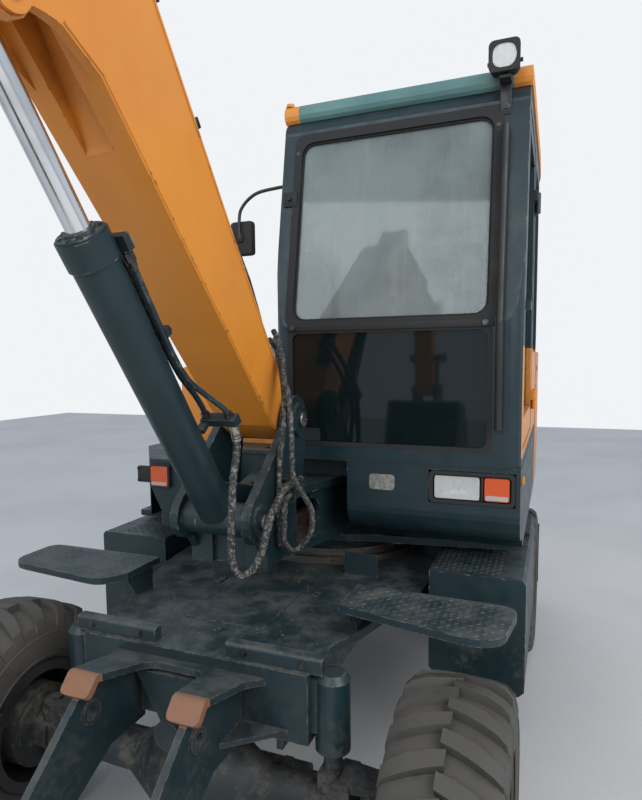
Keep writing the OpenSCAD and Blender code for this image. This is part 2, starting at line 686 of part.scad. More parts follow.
// Low box between the right-hand body and the nose
low_x1 = 600;
low_plan = [[1, -half_w + 4], [270, -half_w + 4], [low_x1, -668], [low_x1, -310], [1, -310]];
module tool_box() {
  color("#1c333b") difference() {
    translate([0, 0, upper_z]) linear_extrude(low_top_z - upper_z) polygon(low_plan);
    // Slanted lower edge towards the outside
    translate([0, 0, 0]) rotate([90, 0, 90]) linear_extrude(700)
      polygon([[-760, upper_z - 1], [-612, upper_z - 1], [-612, 1050], [-672, 1165], [-760, 1165]]);
  }
}

// Cab

cab_y0 = cab_inner_y;
cab_y1 = cab_outer_y;
cab_split_z = 1850;
cab_lean = 150;
cab_top_z = cab_roof_z - 80;
// Side outline of the cab, shrunk by d on every side
function cab_side(d) = concat(
  [[cab_rear_x + d, cab_floor_z + d], [cab_front_x - d, cab_floor_z + d],
   [cab_front_x - d, cab_split_z], [cab_front_x - cab_lean - d, cab_top_z - 70]],
  arc([cab_front_x - cab_lean - 70 - d * 0.6, cab_top_z - 70 - d * 0.6], 70 - d * 0.4, 10, 90, 5),
  arc([cab_rear_x + 120, cab_top_z - 120], 120 - d, 90, 180, 6));
window_z1 = cab_top_z - 95;
glass_y0 = cab_y0 + 72;
glass_y1 = cab_y1 - 110;
module cab_shell() {
  color("#1e3b43") difference() {
    union() {
      intersection() {
        across(cab_y0, cab_y1) polygon(cab_side(0));
        translate([0, 0, cab_floor_z - 10]) linear_extrude(cab_roof_z)
          polygon(rounded(cab_rear_x, cab_y0, cab_front_x, cab_y1, 60, 5));
      }
      cab_base();
    }
    across(cab_y0 + cab_wall, cab_y1 - cab_wall) polygon(cab_side(cab_wall));
    // Front opening for the upper and the lower pane
    across(glass_y0, glass_y1) polygon([
      [cab_front_x - 100, cab_floor_z + 60], [cab_front_x + 50, cab_floor_z + 60],
      [cab_front_x + 50, window_z1], [cab_front_x - cab_lean - 120, window_z1]]);
    // Rear window, right-hand window, door opening and the window behind the door
    translate([cab_rear_x - 10, cab_y0 + 110, 1800]) cube([80, cab_y1 - cab_y0 - 220, window_z1 - 1800]);
    across(cab_y0 - 10, cab_y0 + cab_wall + 10) polygon(right_window);
    across(cab_y1 - cab_wall - 10, cab_y1 + 10) polygon(door_outline(0));
    across(cab_y1 - cab_wall - 10, cab_y1 + 10) polygon(rear_side_window);
    // Recess of the front lamps
    translate([cab_front_x - 30, lamp_y - 155, lamp_z - 62]) cube([60, 310, 124]);
  }
  color("#1e3b43") for (z = hinge_z) {
    translate([hinge_x, hinge_y, z]) cylinder(h = 45, r = 12);
    translate([hinge_x, hinge_y, z]) cylinder(h = 95, r = 6);
    translate([hinge_x - 60, cab_y1 - 1, z]) cube([60, 14, 45]);
  }
}
lamp_y = cab_y1 - 170;
lamp_z = 1250;
right_window = [
  [cab_rear_x + 120, 1750], [cab_front_x - 90, 1750], [cab_front_x - 90, cab_split_z],
  [cab_front_x - 90 - cab_lean, window_z1], [cab_rear_x + 120, window_z1]];
rear_side_window = [
  [cab_rear_x + 120, 1750], [-275, 1750], [-275, window_z1], [cab_rear_x + 120, window_z1]];
hinge_z = [1480, 2380];
door_x0 = -190;
hinge_x = door_x0 - 4;
hinge_y = cab_y1 + 13;
door_x1 = cab_front_x - 75;
function door_outline(d) = [
  [door_x0 + d, cab_floor_z + 55 + d], [door_x1 - d, cab_floor_z + 55 + d],
  [door_x1 - d, cab_split_z], [door_x1 - cab_lean - d * 0.8, window_z1 + 30 - d], [door_x0 + d, window_z1 + 30 - d]];
// Body under the cab with the curved lower front panel
module cab_base() {
  across(cab_y0 + 310, cab_y1) polygon(concat(
    [[cab_front_x, cab_floor_z + 1]], arc([cab_front_x - 110, upper_z + 170], 110, 0, -70, 6),
    [[cab_front_x - 200, upper_z + 40], [cab_front_x - 220, upper_z], [cab_rear_x, upper_z],
     [cab_rear_x, cab_floor_z + 1]]));
  across(cab_y0, cab_y0 + 311) polygon([
    [cab_front_x - 150, cab_floor_z + 1], [cab_front_x - 150, flange_top + play], [300, flange_top + play],
    [300, web_top + play], [cab_rear_x, web_top + play], [cab_rear_x, cab_floor_z + 1]]);
}

module cab_roof() {
  color("#5d8a85") difference() {
    intersection() {
      across(cab_y0 - 6, cab_y1 + 6) polygon(concat(
        arc([cab_front_x - cab_lean - 45, cab_top_z + 22], 40, -60, 80, 6),
        [[cab_front_x - cab_lean - 260, cab_roof_z], [cab_rear_x + 160, cab_roof_z]],
        [[cab_rear_x + 10, cab_top_z + 30], [cab_rear_x + 10, cab_top_z - 40]]));
      translate([0, 0, cab_top_z - 60]) linear_extrude(300)
        polygon(rounded(cab_rear_x, cab_y0 - 6, cab_front_x, cab_y1 + 6, 60, 5));
    }
    across(cab_y0 - 20, cab_y1 + 20) polygon(cab_side(0));
  }
}

module pane(y, outline) {
  across(y, y + glass_t) polygon(outline);
}
module cab_glass() {
  g = play;
  color("#9fb4b5", 0.4) {
    // Upper and lower windscreen
    across(glass_y0 + g, glass_y1 - g) polygon([
      [cab_front_x - 12 - glass_t, cab_split_z], [cab_front_x - 12, cab_split_z],
      [cab_front_x - 12 - 0.19 * (window_z1 - cab_split_z), window_z1 - g],
      [cab_front_x - 12 - glass_t - 0.19 * (window_z1 - cab_split_z), window_z1 - g]]);
    translate([cab_front_x - 12 - glass_t, glass_y0 + g, cab_floor_z + 60 + g])
      cube([glass_t, glass_y1 - glass_y0 - 2 * g, cab_split_z - cab_floor_z - 60 - 2 * g]);
    translate([cab_rear_x + 20, cab_y0 + 110 + g, 1800 + g])
      cube([glass_t, cab_y1 - cab_y0 - 220 - 2 * g, window_z1 - 1800 - 2 * g]);
    pane(cab_y0 + 20, [
      [cab_rear_x + 120 + g, 1750 + g], [cab_front_x - 90 - g, 1750 + g], [cab_front_x - 90 - g, cab_split_z],
      [cab_front_x - 90 - cab_lean - g, window_z1 - g], [cab_rear_x + 120 + g, window_z1 - g]]);
    pane(cab_y1 - 20 - glass_t, [
      [cab_rear_x + 120 + g, 1750 + g], [-275 - g, 1750 + g], [-275 - g, window_z1 - g],
      [cab_rear_x + 120 + g, window_z1 - g]]);
  }
}

// Door, cut to the same lines as its opening
function door_window(d) = [
  [door_x0 + 70 + d, 1500 + d], [door_x1 - 70 - d, 1500 + d], [door_x1 - 70 - d, cab_split_z],
  [door_x1 - cab_lean - 60 - d, window_z1 - 40 - d], [door_x0 + 70 + d, window_z1 - 40 - d]];
module cab_door() {
  color("#1e3b43") {
    difference() {
      across(cab_y1 - cab_wall + 4, cab_y1 - 2) polygon(door_outline(clear));
      across(cab_y1 - 100, cab_y1 + 30) polygon(door_window(0));
    }
    for (z = hinge_z) difference() {
      union() {
        translate([hinge_x, hinge_y, z + 45 + play]) cylinder(h = 45, r = 12);
        translate([hinge_x, cab_y1 + 2, z + 45 + play]) cube([70, 11, 45]);
        translate([door_x0 + 16, cab_y1 - 3, z + 45 + play]) cube([50, 8, 45]);
      }
      translate([hinge_x, hinge_y, z]) cylinder(h = 110, r = 6 + fit);
    }
    translate([door_x1 - 120, cab_y1 - 3, 1900]) cube([80, 20, 28]);
  }
}
module door_glass() {
  color("#9fb4b5", 0.4) pane(cab_y1 - 20 - glass_t, door_window(play));
}

seat_x = -150;
seat_y = (cab_inner_y + cab_outer_y) / 2;
console_y = (cab_outer_y - cab_inner_y) / 2 - cab_wall - 82.5;
seat_half = console_y - 100;
module seat() {
  color("#33373a") translate([seat_x, seat_y, 0]) {
    translate([-200, 50 - seat_half, cab_floor_z + cab_wall]) cube([380, 2 * seat_half - 100, 280]);
    translate([-230, -seat_half, cab_floor_z + cab_wall + 280]) cube([500, 2 * seat_half, 120]);
    across(10 - seat_half, seat_half - 10) polygon([[-320, 1755], [-200, 1755], [-260, 2330], [-360, 2330]]);
    across(-130, 130) polygon([[-362, 2350], [-268, 2350], [-275, 2530], [-358, 2530]]);
    across(-40, 40) polygon([[-345, 2330], [-290, 2330], [-290, 2350], [-345, 2350]]);
  }
}

module cab_controls() {
  color("#2b2f31") {
    for (s = [-1, 1]) translate([-230, seat_y + s * console_y - 60, cab_floor_z + cab_wall]) cube([520, 120, 520]);
    for (s = [-1, 1]) translate([230, seat_y + s * console_y, 1895]) cylinder(h = 190, r = 16);
    for (s = [-1, 1]) translate([230, seat_y + s * console_y, 2084]) cylinder(h = 90, r = 27);
    translate([430, seat_y, cab_floor_z + cab_wall + 12.5]) rotate([0, -18, 0]) cylinder(h = 548, r = 40);
    translate([260, seat_y, 1900]) rotate([0, -18, 0]) difference() {
      cylinder(h = 22, r = 170);
      translate([0, 0, -1]) cylinder(h = 24, r = 148);
    }
    translate([260, seat_y, 1900]) rotate([0, -18, 0]) for (i = [0:2])
      rotate([0, 0, 120 * i]) translate([0, -12, 4]) cube([155, 24, 12]);
  }
}

module lamps() {
  color("#d8d8d0") {
    // Headlamp and turn signal in the recess of the lower panel
    translate([cab_front_x - 30, lamp_y - 150, lamp_z - 57]) cube([8, 300, 114]);
    translate([cab_front_x - 23, lamp_y - 135, lamp_z - 42]) cube([19, 165, 84]);
    translate([cab_front_x - 23, lamp_y + 50, lamp_z - 42]) cube([19, 85, 84]);
    // Work lamp on a strap at the cab's upper corner
    difference() {
      union() {
        translate([cab_front_x - 145, cab_y1 - 140, cab_top_z + 5]) cube([75, 110, 110]);
        translate([cab_front_x - 145, cab_y1 - 100, cab_top_z - 110]) cube([12, 36, 120]);
      }
      across(cab_y0 - 20, cab_y1 + 20) polygon(cab_side(0));
    }
    // Turn signal and reflector on the low box
    translate([low_x1, -650, 1158]) cube([22, 95, 104]);
    difference() {
      translate([low_x1 - 40, -752, 1168]) cube([40, 90, 84]);
      translate([0, 0, upper_z]) linear_extrude(low_top_z - upper_z) polygon(low_plan);
    }
  }
}

module handrails() {
  y = cab_y1 - 78;
  color("#151617") difference() {
    union() {
      translate([cab_front_x + 26, y, 1470]) cylinder(h = cab_split_z - 1470, r = 13);
      rod_between([cab_front_x + 27, cab_split_z - 7], [cab_front_x + 26 - 0.19 * 700, cab_split_z + 700], 12.4, y);
      translate([cab_front_x - 20, y, 1480]) rotate([0, 90, 0]) cylinder(h = 50, r = 11);
      translate([cab_front_x - 190, y, cab_split_z + 680]) rotate([0, 90, 0]) cylinder(h = 90, r = 11);
    }
    across(cab_y0 - 20, cab_y1 + 20) polygon(cab_side(0));
  }
}

// Swing post that carries the boom
ear_y = boom_w / 2 + 13;
ear_t = 30;
cyl_ear_y = boom_barrel_r + 4;
module swing_post() {
  z0 = flange_z + play;
  z1 = flange_top - 32 - play;
  color("#1d3a42") {
    difference() {
      union() {
        translate([post_x, 0, z0]) cylinder(h = z1 - z0, r = 98);
        translate([post_x, 0, upper_z + 2]) cylinder(h = flange_top - upper_z - 2, r = 42);
        translate([post_x, -ear_y - ear_t, z0]) cube([250, 2 * (ear_y + ear_t), z1 - z0]);
        both_sides() across(ear_y, ear_y + ear_t) polygon(concat(
          arc(foot, 88, 195, 20, 10), curve(foot + [100, -20], foot + [210, -120], cyl_foot + [45, 66], 5),
          arc(cyl_foot, 78, 55, -100, 8),
          [[post_x + 215, z0], [post_x + 168, z0], [post_x + 168, flange_top + 9], [post_x - 60, flange_top + 9]]));
        across(-ear_y - 1, ear_y + 1) polygon([
          [post_x + 150, z1 - 10], [post_x + 175, z1 - 10], [post_x + 190, z1 + 90], [post_x + 170, z1 + 90]]);
        both_sides() cross_bar(foot, boom_w / 2 + play, ear_y + ear_t + 14, 60);
        both_sides() cross_bar(cyl_foot, cyl_ear_y, ear_y + ear_t + 10, 56);
        // Fitting block where the hoses end
        translate([900, ear_y + ear_t - 1, flange_top + 6]) cube([60, 59, 68]);
      }
      translate([post_x + 230, -cyl_ear_y, z0 - 10]) cube([200, 2 * cyl_ear_y, z1 - z0 + 20]);
    }
    // Pins of the boom and of its cylinder
    cross_bar(foot, -ear_y - ear_t - 24, ear_y + ear_t + 24, boom_pin_r);
    cross_bar(cyl_foot, -ear_y - ear_t - 20, ear_y + ear_t + 20, boom_pin_r);
  }
}

// Hoses in loops beside the swing post: [radius, route]
hose_routes = [
  [12, [[1232, 122, 1530], [1216, 122, 1484], [1222, 122, 1430], [1246, 122, 1360], [1256, 122, 1270],
    [1258, 118, 1180], [1252, 118, 1105], [1238, 136, 1060], [1222, 170, 1075], [1206, 196, 1130], [1190, 206, 1190], [1150, 206, 1240],
    [1090, 200, 1266], [1020, 190, 1292], [961, 187, 1296]]],
  [10, [[912, 108, 1668], [913, 130, 1666], [930, 152, 1640], [962, 170, 1580], [988, 178, 1500], [1000, 168, 1400],
    [1000, 162, 1300], [1002, 162, 1200], [1004, 162, 1130], [1000, 162, 1092], [982, 162, 1082], [968, 162, 1096],
    [962, 162, 1130], [956, 162, 1180], [950, 162, 1242]]],
  [10, [[935, 108, 1704], [936, 130, 1702], [950, 162, 1676], [974, 190, 1600], [985, 204, 1500], [986, 206, 1400],
    [985, 210, 1325], [985, 250, 1262], [985, 275, 1215], [985, 274, 1150], [988, 240, 1092], [1000, 208, 1076],
    [1026, 192, 1110], [1028, 190, 1170], [1015, 188, 1225], [990, 187, 1256], [961, 187, 1262]]]
];
module hose_loops() {
  color("#2b2b2a") for (h = hose_routes) tube(h[1], h[0]);
}
// Hoses along the back of the boom, off its face by their own radius
back_foot = foot + 78 * [cos(100), sin(100)];
back_u = (foot + [930, 1350] - back_foot) / norm(foot + [930, 1350] - back_foot);
function on_back(s, off) = back_foot + s * back_u + off * [-back_u[1], back_u[0]];
module hose_lines() {
  color("#2b2b2a") for (y = [58, 84])
    tube([for (q = [on_back(150, 12), on_back(300, 14), on_back(480, 30), on_back(700, 14), on_back(900, 10.5),
      on_back(1100, 10.5), on_back(1300, 10.5), on_back(1450, 12), foot + [935, 1395], foot + [1040, 1505], foot + [1130, 1539]]) [q[0], y, q[1]]], 10);
}

// Boom
boom_knee = foot + 1752 * [cos(49.1), sin(49.1)];
boom_outline = concat(
  arc(foot, 78, 100, 300, 12), [foot + [128, -12]],
  curve(foot + [1130, 1020], foot + [1250, 1140], foot + [1400, 1180], 6),
  [tip + [-420, -148]],
  arc(tip, 84, -80, 96, 12),
  [tip + [-430, 30]],
  curve(foot + [1250, 1535], foot + [1050, 1515], foot + [930, 1350], 6));
lug_in = 42;
// Where the rod's eye drifts to, seen from the boom, when the boom has turned by a
function drifted(a) =
  let (t = angle_of(cyl_foot, lug) + boom_ratio * a, l = norm(lug - cyl_foot) + boom_rate * a,
       e = cyl_foot + l * [cos(t), sin(t)] - foot, b = e - 330 * [cos(t), sin(t)])
  [for (q = [b, e]) foot + [q[0] * cos(a) + q[1] * sin(a), q[1] * cos(a) - q[0] * sin(a)]];
arm_ear_y = arm_barrel_r + 4;
module boom() {
  color("#e8930c") {
    difference() {
      union() {
        across(-boom_w / 2, boom_w / 2) polygon(boom_outline);
        // Cheeks that carry the cylinder's rod
        both_sides() across(boom_w / 2 - 25, boom_w / 2) polygon(concat(
          [foot + [900, 810]], curve(foot + [1060, 890], foot + [1160, 900], lug + [-48, -30], 4),
          arc(lug, 58, -130, 10, 8), [foot + [1560, 1215], foot + [1300, 1250]]));
        both_sides() cross_bar(lug, lug_in, boom_w / 2 + 10, 52);
        // Ears on top for the arm cylinder
        both_sides() across(arm_ear_y, arm_ear_y + 24) polygon(concat(
          arc(arm_foot, 52, 10, 170, 10), [arm_foot + [-150, -170], arm_foot + [190, -170]]));
      }
      cross_bar(foot, -200, 200, boom_pin_r + fit);
      // Clearance for the opened pivot of the cylinder, between the cheeks
      for (a = boom_range) across(-lug_in, lug_in) polygon(strap(drifted(a)[0], drifted(a)[1], 37, 57, 5));
      translate([tip[0], 0, tip[1]]) rotate([0, -8, 0])
        translate([-fork_depth, -arm_w / 2 - 4, -200]) cube([fork_depth + 200, arm_w + 8, 400]);
    }
    both_sides() cross_bar(tip, arm_w / 2 + play, arm_w / 2 + 5, 60);
    cross_bar(arm_foot, -arm_ear_y - 32, arm_ear_y + 32, 22);
    cross_bar(tip, -boom_w / 2 - 12, boom_w / 2 + 12, boom_pin_r);
    both_sides() cross_bar(lug, boom_w / 2, boom_w / 2 + 18, boom_pin_r);
  }
}
fork_depth = 285;

boom_barrel_len = 1016;
// Travel of the parked boom, and what its cylinder does for each degree of it
boom_range = [-55, 30];
boom_ratio = 1.09;
boom_rate = 6.9813;
module boom_barrel() {
  color("#1d3a42") {
    barrel(cyl_foot, lug, boom_barrel_len, boom_barrel_r, 30, 56, 2 * cyl_ear_y - 2 * play, boom_pin_r);
    translate([cyl_foot[0], 0, cyl_foot[1]]) rotate([0, -54, 0]) {
      for (route = cylinder_pipes) tube(route, 9);
      // Fitting block at the head, strap half way, and the clamp where the hose starts
      translate([940, 24, 50]) cube([42, 46, 26]);
      translate([690, 16, 50]) cube([26, 54, 24]);
      across(22, 140) polygon([[340, 84], [364, 84], [364, 122], [328, 122]]);
      translate([342, 22, 48]) cube([16, 26, 40]);
    }
  }
}
// Routes of the pipes, along the cylinder, across it and off it
cylinder_pipes = [
  [[942, 36, 62], [800, 36, 62], [640, 36, 62], [540, 36, 72], [460, 36, 94], [400, 36, 103], [363, 36, 103]],
  [[942, 60, 54], [800, 60, 50], [640, 60, 50], [540, 62, 62], [460, 78, 90], [400, 110, 102], [363, 118, 103]]
];
module boom_rod() {
  color("#c9ccce")
    piston_rod(cyl_foot, lug, boom_barrel_len + 75, boom_barrel_r, 30, 50, 2 * lug_in - 2 * play);
}
arm_barrel_len = 890;
module arm_barrel() {
  color("#e8930c")
    barrel(arm_foot, arm_eye, arm_barrel_len, arm_barrel_r, 27, 46, 2 * arm_ear_y - 2 * play, 22);
}
module arm_rod() {
  color("#c9ccce")
    piston_rod(arm_foot, arm_eye, arm_barrel_len + 70, arm_barrel_r, 27, 46, 2 * arm_slot - 2 * play);
}
bucket_barrel_len = 880;
module bucket_barrel() {
  color("#e8930c")
    barrel(bucket_foot, link_knee, bucket_barrel_len, bucket_barrel_r, 24, 42, 2 * bucket_ear_y - 2 * play, 20);
}
module bucket_rod() {
  color("#c9ccce")
    piston_rod(bucket_foot, link_knee, bucket_barrel_len + 65, bucket_barrel_r, 24, 42, 2 * knee_in - 2 * play);
}

// Arm
arm_slot = 44;
bucket_ear_y = bucket_barrel_r + 4;
knee_in = 35;
module arm() {
  color("#e8930c") {
    difference() {
      union() {
        across(-arm_w / 2, arm_w / 2) polygon(concat(
          arc(bucket_pin, 50, arm_a - 80, arm_a + 80, 8),
          [on_arm(arm_len - 260, 80), on_arm(900, 105), on_arm(300, 150), on_arm(0, 175)],
          arc(arm_eye, 60, arm_a + 100, arm_a + 250, 8),
          [on_arm(-170, 20)], arc(tip, 92, arm_a + 210, arm_a + 268, 5),
          [on_arm(300, -112), on_arm(900, -90), on_arm(arm_len - 200, -62)]));
        both_sides() across(bucket_ear_y, arm_w / 2) polygon(concat(
          arc(bucket_foot, 46, arm_a, arm_a + 180, 10), [on_arm(-60, 140), on_arm(260, 130)]));
        cross_bar(tip, -arm_w / 2, arm_w / 2, 92);
        cross_bar(bucket_pin, -arm_w / 2, arm_w / 2, 50);
      }
      cross_bar(tip, -200, 200, boom_pin_r + fit);
      cross_bar(bucket_pin, -200, 200, 25 + fit);
      cross_bar(idler_pin, -200, 200, 20 + fit);
      cross_bar(arm_eye, -arm_slot, arm_slot, 150);
      cross_bar(bucket_foot, -bucket_ear_y, bucket_ear_y, 62);
    }
    cross_bar(bucket_foot, -arm_w / 2 - 8, arm_w / 2 + 8, 20);
    both_sides() cross_bar(arm_eye, arm_w / 2, arm_w / 2 + 8, 22);
  }
}

// Links between arm, cylinder and bucket, each in its own lane at the knee
ear_in = 76;
idler_in = ear_in + 27;
module idler_links() {
  color("#1d3a42") {
    both_sides() across(idler_in, idler_in + 20) polygon(strap(idler_pin, link_knee, 38, 38));
    both_sides() cross_bar(idler_pin, arm_w / 2 + play, idler_in + 1, 32);
    both_sides() cross_bar(link_knee, 66 + play, idler_in + 28, 26);
    cross_bar(idler_pin, -idler_in - 28, idler_in + 28, 20);
  }
}
module bucket_link() {
  color("#1d3a42") difference() {
    union() {
      both_sides() across(46, 66) polygon(strap(link_pin, link_knee, 34, 34));
      both_sides() cross_bar(link_knee, knee_in, 47, 30);
      across(-46, 46) polygon(strap(link_pin + 0.42 * (link_knee - link_pin),
                                    link_pin + 0.58 * (link_knee - link_pin), 18, 17));
    }
    cross_bar(link_pin, -140, 140, 20 + fit);
  }
}

// Bucket, as [dx, dz] from its pin
function bucket_back(r) = concat(
  [bucket_pin + [-62, -85] + (bucket_r - r) * [0.1, -1]], arc(shell_c, r, 75, -100, 14),
  [bucket_lip + (bucket_r - r) * [0.1, 1]]);
bucket_lip = shell_c + bucket_r * [-0.91, -0.855];
module bucket() {
  color("#33302b") {
    difference() {
      across(-bucket_w / 2, bucket_w / 2) polygon(bucket_back(bucket_r));
      across(-bucket_w / 2 + 20, bucket_w / 2 - 20) polygon(concat(
        [bucket_pin + [-300, -120]], bucket_back(bucket_r - 20), [shell_c + [-800, -300]]));
    }
    both_sides() across(ear_in, ear_in + 24) difference() {
      polygon(concat(
        arc(bucket_pin, 52, 80, 220, 8), [bucket_pin + [-50, -110], bucket_pin + [120, -160],
        bucket_pin + [330, -240]], arc(link_pin, 46, -20, 90, 6)));
      translate(shell_c) circle(r = bucket_r - 8);
    }
    cutting_edge();
    both_sides() cross_bar(bucket_pin, arm_w / 2 + play, ear_in + 30, 44);
    cross_bar(bucket_pin, -ear_in - 38, ear_in + 38, 25);
    cross_bar(link_pin, -ear_in - 24 + 1, ear_in + 24 - 1, 20);
  }
}
module cutting_edge() {
  lip = bucket_lip;
  across(-bucket_w / 2 - 4, bucket_w / 2 + 4) polygon([
    lip + [60, -10], lip + [-70, 12], lip + [-70, 22], lip + [60, 22]]);
  for (i = [0:tooth_count - 1])
    translate([0, -bucket_w / 2 + 35 + i * (bucket_w - 70) / (tooth_count - 1), 0])
      across(-28, 28) polygon([lip + [-20, -12], lip + [-60, -14], lip + [-196, 22],
                               lip + [-70, 42], lip + [-20, 38]]);
}

module placed() {
  translate([-middle_x, 0, 0]) children();
}
placed() chassis_frame();
placed() front_bracket();
placed() slew_ring();
placed() front_axle();
placed() rear_axle();
placed() axle_lock_cylinders();
placed() drive_line();
placed() access_steps();
placed() side_boxes();
placed() left_knuckle();
placed() right_knuckle();
placed() tyre_front_left();
placed() tyre_front_right();
placed() tyre_rear_left();
placed() tyre_rear_right();
placed() rim_front_left();
placed() rim_front_right();
placed() rim_rear_left();
placed() rim_rear_right();
placed() blade();
placed() blade_barrel();
placed() blade_rod();
placed() upper_frame();
placed() counterweight();
placed() engine_block();
placed() engine_hood();
placed() side_body();
placed() tool_box();
placed() cab_shell();
placed() cab_roof();
placed() cab_glass();
placed() cab_door();
placed() door_glass();
placed() seat();
placed() cab_controls();
placed() lamps();
placed() handrails();
placed() swing_post();
placed() hose_loops();
placed() hose_lines();
placed() boom();
placed() boom_barrel();
placed() boom_rod();
placed() arm_barrel();
placed() arm_rod();
placed() arm();
placed() bucket_barrel();
placed() bucket_rod();
placed() idler_links();
placed() bucket_link();
placed() bucket();
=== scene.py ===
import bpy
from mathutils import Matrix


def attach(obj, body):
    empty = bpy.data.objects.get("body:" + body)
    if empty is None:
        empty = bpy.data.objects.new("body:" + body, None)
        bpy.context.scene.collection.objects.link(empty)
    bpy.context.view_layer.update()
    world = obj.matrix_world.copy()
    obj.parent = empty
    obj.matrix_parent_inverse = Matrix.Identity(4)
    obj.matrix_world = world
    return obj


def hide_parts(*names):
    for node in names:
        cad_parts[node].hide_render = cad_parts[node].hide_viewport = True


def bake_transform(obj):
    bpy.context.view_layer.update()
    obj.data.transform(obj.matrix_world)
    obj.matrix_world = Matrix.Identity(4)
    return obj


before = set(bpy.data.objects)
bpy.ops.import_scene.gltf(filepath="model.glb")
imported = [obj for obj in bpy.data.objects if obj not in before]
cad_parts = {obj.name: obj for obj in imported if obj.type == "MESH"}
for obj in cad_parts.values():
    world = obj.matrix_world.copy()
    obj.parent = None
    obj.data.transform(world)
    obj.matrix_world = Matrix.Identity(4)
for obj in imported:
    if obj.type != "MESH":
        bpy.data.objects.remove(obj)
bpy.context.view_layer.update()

import math
import random

import bmesh
import bpy
from mathutils import Matrix, Vector

# Every place below is in millimetres from the turning centre, as in the part's source.
MIDDLE_X = 1141.4328


def at(x, y, z):
    return Vector((x - MIDDLE_X, y, z)) / 1000


# Camera, light and floor
# The photographer stood by the machine's front left corner, at about eye height, with a phone's wide lens.
# The floor and the sky are plain and pale; the light is a bright overcast day, a little more from the left.
EYE = Vector((1.7176, 1.029, 1.731))
YAW, PITCH, ROLL = (math.radians(a) for a in (22.09, 5.12, -0.634))
FOCAL_PX, CENTRE_PX, PICTURE_PX = 608.05, (308.57, 412.37), (642, 800)


def look():
    level = Vector((-math.cos(YAW), -math.sin(YAW), 0))
    side = Vector((-math.sin(YAW), math.cos(YAW), 0))
    up = Vector((0, 0, 1))
    ahead = math.cos(PITCH) * level - math.sin(PITCH) * up
    above = math.sin(PITCH) * level + math.cos(PITCH) * up
    right = math.cos(ROLL) * side + math.sin(ROLL) * above
    upward = -math.sin(ROLL) * side + math.cos(ROLL) * above
    turn = Matrix((right, upward, -ahead)).transposed().to_4x4()
    return Matrix.Translation(EYE) @ turn


def link(obj):
    bpy.context.collection.objects.link(obj)
    return obj


scene = bpy.context.scene
lens = bpy.data.cameras.new("view")
lens.sensor_width = 36
lens.lens = FOCAL_PX / PICTURE_PX[1] * 36
lens.shift_x = -(CENTRE_PX[0] - PICTURE_PX[0] / 2) / PICTURE_PX[1]
lens.shift_y = (CENTRE_PX[1] - PICTURE_PX[1] / 2) / PICTURE_PX[1]
camera = link(bpy.data.objects.new("view", lens))
camera.matrix_world = look()
scene.camera = camera
scene.view_settings.view_transform = "Standard"


def node(tree, kind, inputs=None, **settings):
    made = tree.nodes.new("ShaderNode" + kind)
    for name, value in settings.items():
        setattr(made, name, value)
    for key, value in (inputs or {}).items():
        if isinstance(value, bpy.types.NodeSocket):
            tree.links.new(value, made.inputs[key])
        else:
            made.inputs[key].default_value = value
    return made


def noise(tree, where, scale, detail=3.0, rough=0.55):
    return node(tree, "TexNoise",
                {"Vector": where, "Scale": scale, "Detail": detail, "Roughness": rough}).outputs[0]


def ramp(tree, value, low, high, start=0.0, end=1.0):
    values = {"Value": value, "From Min": low, "From Max": high, "To Min": start, "To Max": end}
    return node(tree, "MapRange", values, interpolation_type="SMOOTHSTEP").outputs[0]


def tint(tree, share, first, second):
    first, second = (c if isinstance(c, bpy.types.NodeSocket) else (*c[:3], 1.0) for c in (first, second))
    return node(tree, "Mix", {0: share, 6: first, 7: second}, data_type="RGBA").outputs[2]


def sums(tree, how, first, second):
    return node(tree, "Math", {0: first, 1: second}, operation=how, use_clamp=True).outputs[0]


def stretched(tree, where, scale, turn=(0, 0, 0)):
    return node(tree, "Mapping", {"Vector": where, "Scale": scale, "Rotation": turn}).outputs[0]


def shader(name):
    material = bpy.data.materials.new(name)
    material.use_nodes = True
    tree = material.node_tree
    return material, tree, tree.nodes["Principled BSDF"]


def dress(tree, skin, colour, rough, height=None, strength=0.35, depth=0.001):
    """Gives a shader its colour, gloss and relief. A plain number is set on the socket, not linked."""
    tree.links.new(colour, skin.inputs["Base Color"])
    if isinstance(rough, float):
        skin.inputs["Roughness"].default_value = rough
    else:
        tree.links.new(rough, skin.inputs["Roughness"])
    if height is not None:
        relief = node(tree, "Bump", {"Height": height, "Strength": strength, "Distance": depth})
        tree.links.new(relief.outputs[0], skin.inputs["Normal"])


def sky():
    world = bpy.data.worlds.new("overcast")
    scene.world = world
    world.use_nodes = True
    tree = world.node_tree
    background = tree.nodes["Background"]
    path = node(tree, "LightPath")
    seen = sums(tree, "MAXIMUM", path.outputs["Is Camera Ray"], path.outputs["Is Transmission Ray"])
    tree.links.new(tint(tree, seen, (0.56, 0.62, 0.70), (0.88, 0.90, 0.92)), background.inputs["Color"])
    background.inputs["Strength"].default_value = 1.0


def panel_light(name, place, target, size, power, colour):
    light = bpy.data.lights.new(name, "AREA")
    light.size, light.energy, light.color = size, power, colour
    made = link(bpy.data.objects.new(name, light))
    made.location = place
    made.rotation_euler = (Vector(target) - Vector(place)).to_track_quat("-Z", "Y").to_euler()


def ground():
    material, tree, skin = shader("pale_floor")
    spot = node(tree, "TexCoord").outputs["Object"]
    stains = ramp(tree, noise(tree, spot, 0.7, 5), 0.35, 0.7)
    colour = tint(tree, stains, (0.66, 0.65, 0.64), (0.59, 0.585, 0.58))
    grain = ramp(tree, noise(tree, spot, 60, 3), 0.3, 0.7, 0, 0.16)
    dress(tree, skin, tint(tree, grain, colour, (0.45, 0.44, 0.43)), 0.9)
    bm = bmesh.new()
    bmesh.ops.create_grid(bm, x_segments=4, y_segments=4, size=14)
    mesh = bpy.data.meshes.new("floor")
    bm.to_mesh(mesh)
    bm.free()
    mesh.materials.append(material)
    link(bpy.data.objects.new("floor", mesh))


